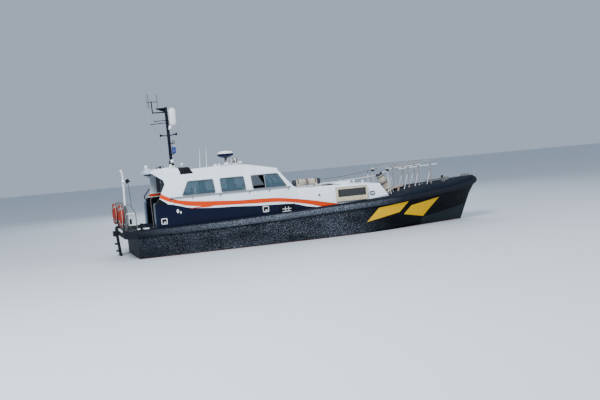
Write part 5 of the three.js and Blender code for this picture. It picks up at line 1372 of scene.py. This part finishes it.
def chain(build, start, end, pitch=0.036, wire_radius=0.006):
    """Links of chain between two points of the deck, each a flat loop turned a quarter from the last."""
    start, end = Vector(start), Vector(end)
    along = (end - start).normalized()
    count = int((end - start).length / pitch)
    for i in range(count):
        middle = start + along * (i + 0.5) * pitch
        flat = Vector((0, 0, 1)) if i % 2 else along.cross(Vector((0, 0, 1))).normalized()
        flat = (flat - along * flat.dot(along)).normalized()
        link = oblong(-pitch * 0.46, pitch * 0.46, -0.011, 0.011)
        loop = [middle + along * far + flat * wide for far, wide in link]
        build.tube(rounded(loop, 0.014, 2, closed=True), wire_radius, 6, closed=True)
    return build


anchor_gear = Build()
CHAIN_ENDS = [(5.42, -0.20), (6.08, 0.20)]
FAIRLEAD_CHEEK = [(6.90, -0.03), (7.24, 0.01), (7.20, 0.09), (6.95, 0.06)]          # X, height over the deck
PAD_EYES = [(4.9, 0.35), (4.9, -0.55), (6.55, 0.0)]
PAD = [(0.05, -0.006), (0.05, 0.006), (0.02, 0.010)]
CLEATS = [(5.75, 0.75, 0.42), (5.75, -0.75, -0.42)]       # X, Y, turn in radians
CLEAT_FOOT = [(0.030, -0.02), (0.022, 0.02), (0.018, 0.055)]
CLEAT_HORNS = [(-0.17, 0.062), (0, 0.055), (0.17, 0.062)]                  # distance along it, height
chain(anchor_gear, *[(x, y, top_of("hull", x, y) + 0.012) for x, y in CHAIN_ENDS])
deck_z = top_of("hull", 7.05, 0)
for y in (-0.102, 0.078):
    anchor_gear.slab([(x, y, deck_z + lift) for x, lift in FAIRLEAD_CHEEK], (0, 0.024, 0))
anchor_gear.tube([(7.16, -0.10, deck_z + 0.035), (7.16, 0.10, deck_z + 0.035)], 0.026, 16)
for x, y in PAD_EYES:
    z = top_of("hull", x, y)
    anchor_gear.turned(PAD, (x, y, z), steps=20)
    anchor_gear.ring((x, y, z + 0.035), (0, 1, 0), 0.030, 0.008, 24, 8)
for x, y, turn in CLEATS:
    foot = Vector((x, y, top_of("hull", x, y)))
    along = Vector((math.cos(turn), -math.sin(turn), 0))
    for step in (-0.06, 0.06):
        anchor_gear.turned(CLEAT_FOOT, foot + along * step, steps=14)
    anchor_gear.tube([foot + along * far + Vector((0, 0, lift)) for far, lift in CLEAT_HORNS], 0.018, 12)
anchor_gear.piece("foredeck_gear", galvanised, slot="galvanised", turn=45)

# Stern gear: a welded steel rail with a white sleeve on each middle bar, and a white light pole that carries
# a hooded floodlight and stands in a black socket. The platform has studded non-slip pads and white strips
# on its after face, two flat lids lie on the deck, and a black ladder hooks over the platform's edge.
SOCKET_TOP, SOCKET_BLACK = 1.93, (0.055, 0.055, 0.060)
pole_paint = Finish("stern_rail_white_paint", (0.66, 0.67, 0.67), 0.4)
pole_paint.stained((12, 6, (1, 1, 0.4)), 0.45, 0.75, 0.6, (0.42, 0.41, 0.38))
pole_paint.stained((30, 6), 0.62, 0.76, 0.7, (0.22, 0.11, 0.05))
pole_paint.coat(pole_paint.below(pole_paint.z, SOCKET_TOP), SOCKET_BLACK)
pole_paint.worn((22, 4), 0.3, 0.6)
pole_paint.grained((60, 3), 0.001)
RAIL_X, RAIL_END_X, RAIL_HALF = -7.000, -6.610, 1.50
RAIL_TOP, RAIL_MIDDLE, RAIL_FOOT = 1.960, 1.620, 1.000
RAIL_END = [(RAIL_X, RAIL_TOP), (-6.79, 1.945), (RAIL_END_X, 1.64), (-6.60, RAIL_FOOT)]       # X and Z
RAIL_ENDS_Y = (-RAIL_HALF, RAIL_HALF)
POLE = [(-6.960, 1.60), (-6.942, 2.50), (-6.940, 2.95), (-6.955, 3.08), (-7.000, 3.20)]       # X and Z
SOCKET_X = -6.965
SOCKET = [(0.030, 0), (0.052, 0.010), (0.052, 0.44), (0.040, 0.46), (0.030, 0.56)]
stern_rail, light_pole = Build(), Build()
for y in (-RAIL_HALF, -0.75, 0, 0.75, RAIL_HALF):
    stern_rail.tube([(RAIL_X, y, RAIL_FOOT), (RAIL_X, y, RAIL_TOP)], 0.017)
for z in (RAIL_TOP, RAIL_MIDDLE):
    stern_rail.tube([(RAIL_X, -RAIL_HALF, z), (RAIL_X, RAIL_HALF, z)], 0.016)
for y in RAIL_ENDS_Y:
    stern_rail.tube([(x, y, z) for x, z in RAIL_END], 0.017, 12, 0.06)
    stern_rail.tube([(RAIL_X, y, RAIL_MIDDLE), (RAIL_END_X, y, RAIL_MIDDLE)], 0.014)
light_pole.tube([(x, -RAIL_HALF, z) for x, z in POLE], 0.036, 16, 0.08)
light_pole.tube([(-6.94, -RAIL_HALF, 2.765), (-6.76, -RAIL_HALF, 2.770)], 0.014, 10)
stern_steel = Finish("stern_rail_steel", (0.15, 0.145, 0.145), 0.42, 0.4)
stern_steel.stained((14, 6), 0.45, 0.7, 0.6, (0.14, 0.10, 0.08))
stern_steel.worn((24, 4), 0.3, 0.55)
stern_rail.piece("stern_rail_tubes", stern_steel, slot="steel", replaces=("stern_rail",))
for y in RAIL_ENDS_Y:
    light_pole.turned(SOCKET, (SOCKET_X, y, 1.10), steps=20)
    light_pole.tube([(SOCKET_X, y, 1.02), (-6.962, y, 1.62)], 0.026, 14)
light_pole.piece("stern_light_pole", pole_paint, slot="steel")
keep("stern_ladder", black_gloss, None, turn=50)
PLATFORM_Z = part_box("stern_platform")[1].z
FLOODLIGHT = Vector((-6.78, -1.5, 2.765))
FLOOD_WAY = Vector((0.5, 0, -0.85)).normalized()
FLOOD_HOOD = [(0.056, -0.08), (0.070, -0.07), (0.074, 0.030), (0.084, 0.036), (0.084, 0.048), (0.056, 0.050)]
FLOOD_LENS = [(0.056, 0), (0.056, 0.004), (0.030, 0.010), (0, 0.012)]
flood_trim, flood_glass = Build(), Build()
flood_trim.turned(FLOOD_HOOD, FLOODLIGHT, FLOOD_WAY, 28)
flood_trim.tube([FLOODLIGHT, (-6.72, -1.5, 1.87)], 0.008, 8)
flood_trim.piece("stern_floodlight_hood", black_gloss, slot="black_paint")
flood_glass.turned(FLOOD_LENS, FLOODLIGHT + FLOOD_WAY * 0.047, FLOOD_WAY, 28)
flood_glass.piece("stern_floodlight_glass", clear_lens, slot="tinted_glass")
PAD_X, PADS_Y = (-7.03, -6.70), [(-1.40, -0.15), (0.15, 1.40)]
STUD = [(0.012, 0.004), (0.010, 0.009), (0, 0.010)]
STUDS_LONG, STUDS_WIDE = (8, 0.041), (30, 0.0415)         # number and pitch
STRIPS_Y = [(0.85, 1.85), (-1.20, 0.15)]
POLE_LAMP = [(0.052, -0.06), (0.056, 0.03), (0.040, 0.05), (0, 0.055)]
DECK_LIDS_Y = [(-1.62, -1.28), (1.28, 1.62)]
platform_pad, platform_whites = Build(), Build()
for y0, y1 in PADS_Y:
    platform_pad.box((PAD_X[0], y0, PLATFORM_Z - 0.003), (PAD_X[1], y1, PLATFORM_Z + 0.005))
    for i in range(STUDS_LONG[0]):
        for j in range(STUDS_WIDE[0]):
            x, y = PAD_X[0] + 0.022 + i * STUDS_LONG[1], y0 + 0.022 + j * STUDS_WIDE[1]
            platform_pad.turned(STUD, (x, y, PLATFORM_Z), steps=6)
platform_pad.piece("platform_treads", rubber, slot="black_rubber")
for y in RAIL_ENDS_Y:
    platform_whites.tube([(RAIL_X + 0.02, y, RAIL_MIDDLE), (RAIL_END_X - 0.02, y, RAIL_MIDDLE)], 0.0165, 12)
for y0, y1 in STRIPS_Y:
    platform_whites.box((-7.128, y0, 0.965), (-7.098, y1, 1.048))
platform_whites.turned(POLE_LAMP, (-6.94, -1.56, 2.79), (-0.2, -1, 0), 20)
for y0, y1 in DECK_LIDS_Y:
    lid_z = top_of("hull", -6.30, (y0 + y1) / 2)
    platform_whites.box((-6.60, y0, lid_z - 0.010), (-6.18, y1, lid_z + 0.028))
platform_whites.piece("stern_lockers", white_plastic, slot="white_plastic", bevel=0.008)

# After shelter: a black tube handle on the port wing's after edge, and a thin steel post, bent over at its
# head, that stands on the deck in a round flange.
GRAB_HANDLE = [(-5.66, 1.54, 2.38), (-5.90, 1.54, 2.08), (-5.88, 1.56, 1.99), (-5.70, 1.60, 1.96)]
grab_handle, shelter_post = Build(), Build()
grab_handle.tube(GRAB_HANDLE, 0.022, 12, 0.05)
grab_handle.piece("shelter_grab_handle", black_gloss, slot="black_paint")
post_z = top_of("hull", -6.0, -1.25)
post_path = [(-5.98, -1.25, post_z - 0.01), (-6.00, -1.25, 1.75), (-6.01, -1.25, 2.06), (-5.88, -1.30, 2.16)]
shelter_post.tube(post_path, 0.011, 12, 0.04)
shelter_post.turned([(0.040, -0.008), (0.040, 0.006), (0.018, 0.012)], (-5.98, -1.25, post_z), steps=20)
shelter_post.piece("shelter_post", stern_steel, slot="steel")

# Lifebuoys: two foam rings in a red-orange cover, hung on the stern rail, one on each side of the boat.
# Each has four grey bands round it, and a grab line that the bands hold close to the ring.
foam_cover = Finish("lifebuoy_orange", (0.23, 0.024, 0.014), 0.6, shine=0.12)
foam_cover.stained((12, 5), 0.45, 0.75, 0.5, (0.22, 0.045, 0.022))
foam_cover.grained((240, 2), 0.0008)
foam_cover.worn((20, 4), 0.5, 0.7)
band_grey = Finish("lifebuoy_band", (0.20, 0.17, 0.17), 0.45)
band_grey.grained((300, 2), 0.0006)
band_grey.coat(band_grey.fade(band_grey.noise(30, 3), 0.5, 0.8), (0.15, 0.13, 0.13))
line_white = Finish("grab_line", (0.50, 0.48, 0.44), 0.8)
line_white.grained((500, 2), 0.001)
RING_RADIUS, TUBE_RADIUS = 0.325, 0.080
BANDS = 4


def round_ring(centre, radius, start, steps):
    """Points round a lifebuoy at some steps in radians from a start."""
    turns = [start + step for step in steps]
    return [centre + Vector((0, math.cos(turn), math.sin(turn))) * radius for turn in turns]


for side, sign in SIDES:
    centre = Vector((-7.095, sign * 1.20, 1.55))
    foam = Build().ring(centre, FORWARD, RING_RADIUS, TUBE_RADIUS, 56, 20)
    foam.piece(f"lifebuoy_ring_{side}", foam_cover, slot="orange_foam", replaces=(f"lifebuoy_{side}",))
    bands, lines = Build(), Build()
    for i in range(BANDS):
        turn = math.pi * (0.25 + i / 2)
        under_band = [k * 0.045 for k in range(-3, 4)]
        bands.tube(round_ring(centre, RING_RADIUS, turn, under_band), TUBE_RADIUS + 0.004, 28)
        stretch = [k * math.pi / 24 for k in range(13)]
        lines.tube(round_ring(centre, RING_RADIUS + TUBE_RADIUS + 0.010, turn, stretch), 0.006, 8)
    bands.piece(f"lifebuoy_bands_{side}", band_grey, slot="galvanised")
    lines.piece(f"lifebuoy_line_{side}", line_white, slot="white_plastic")
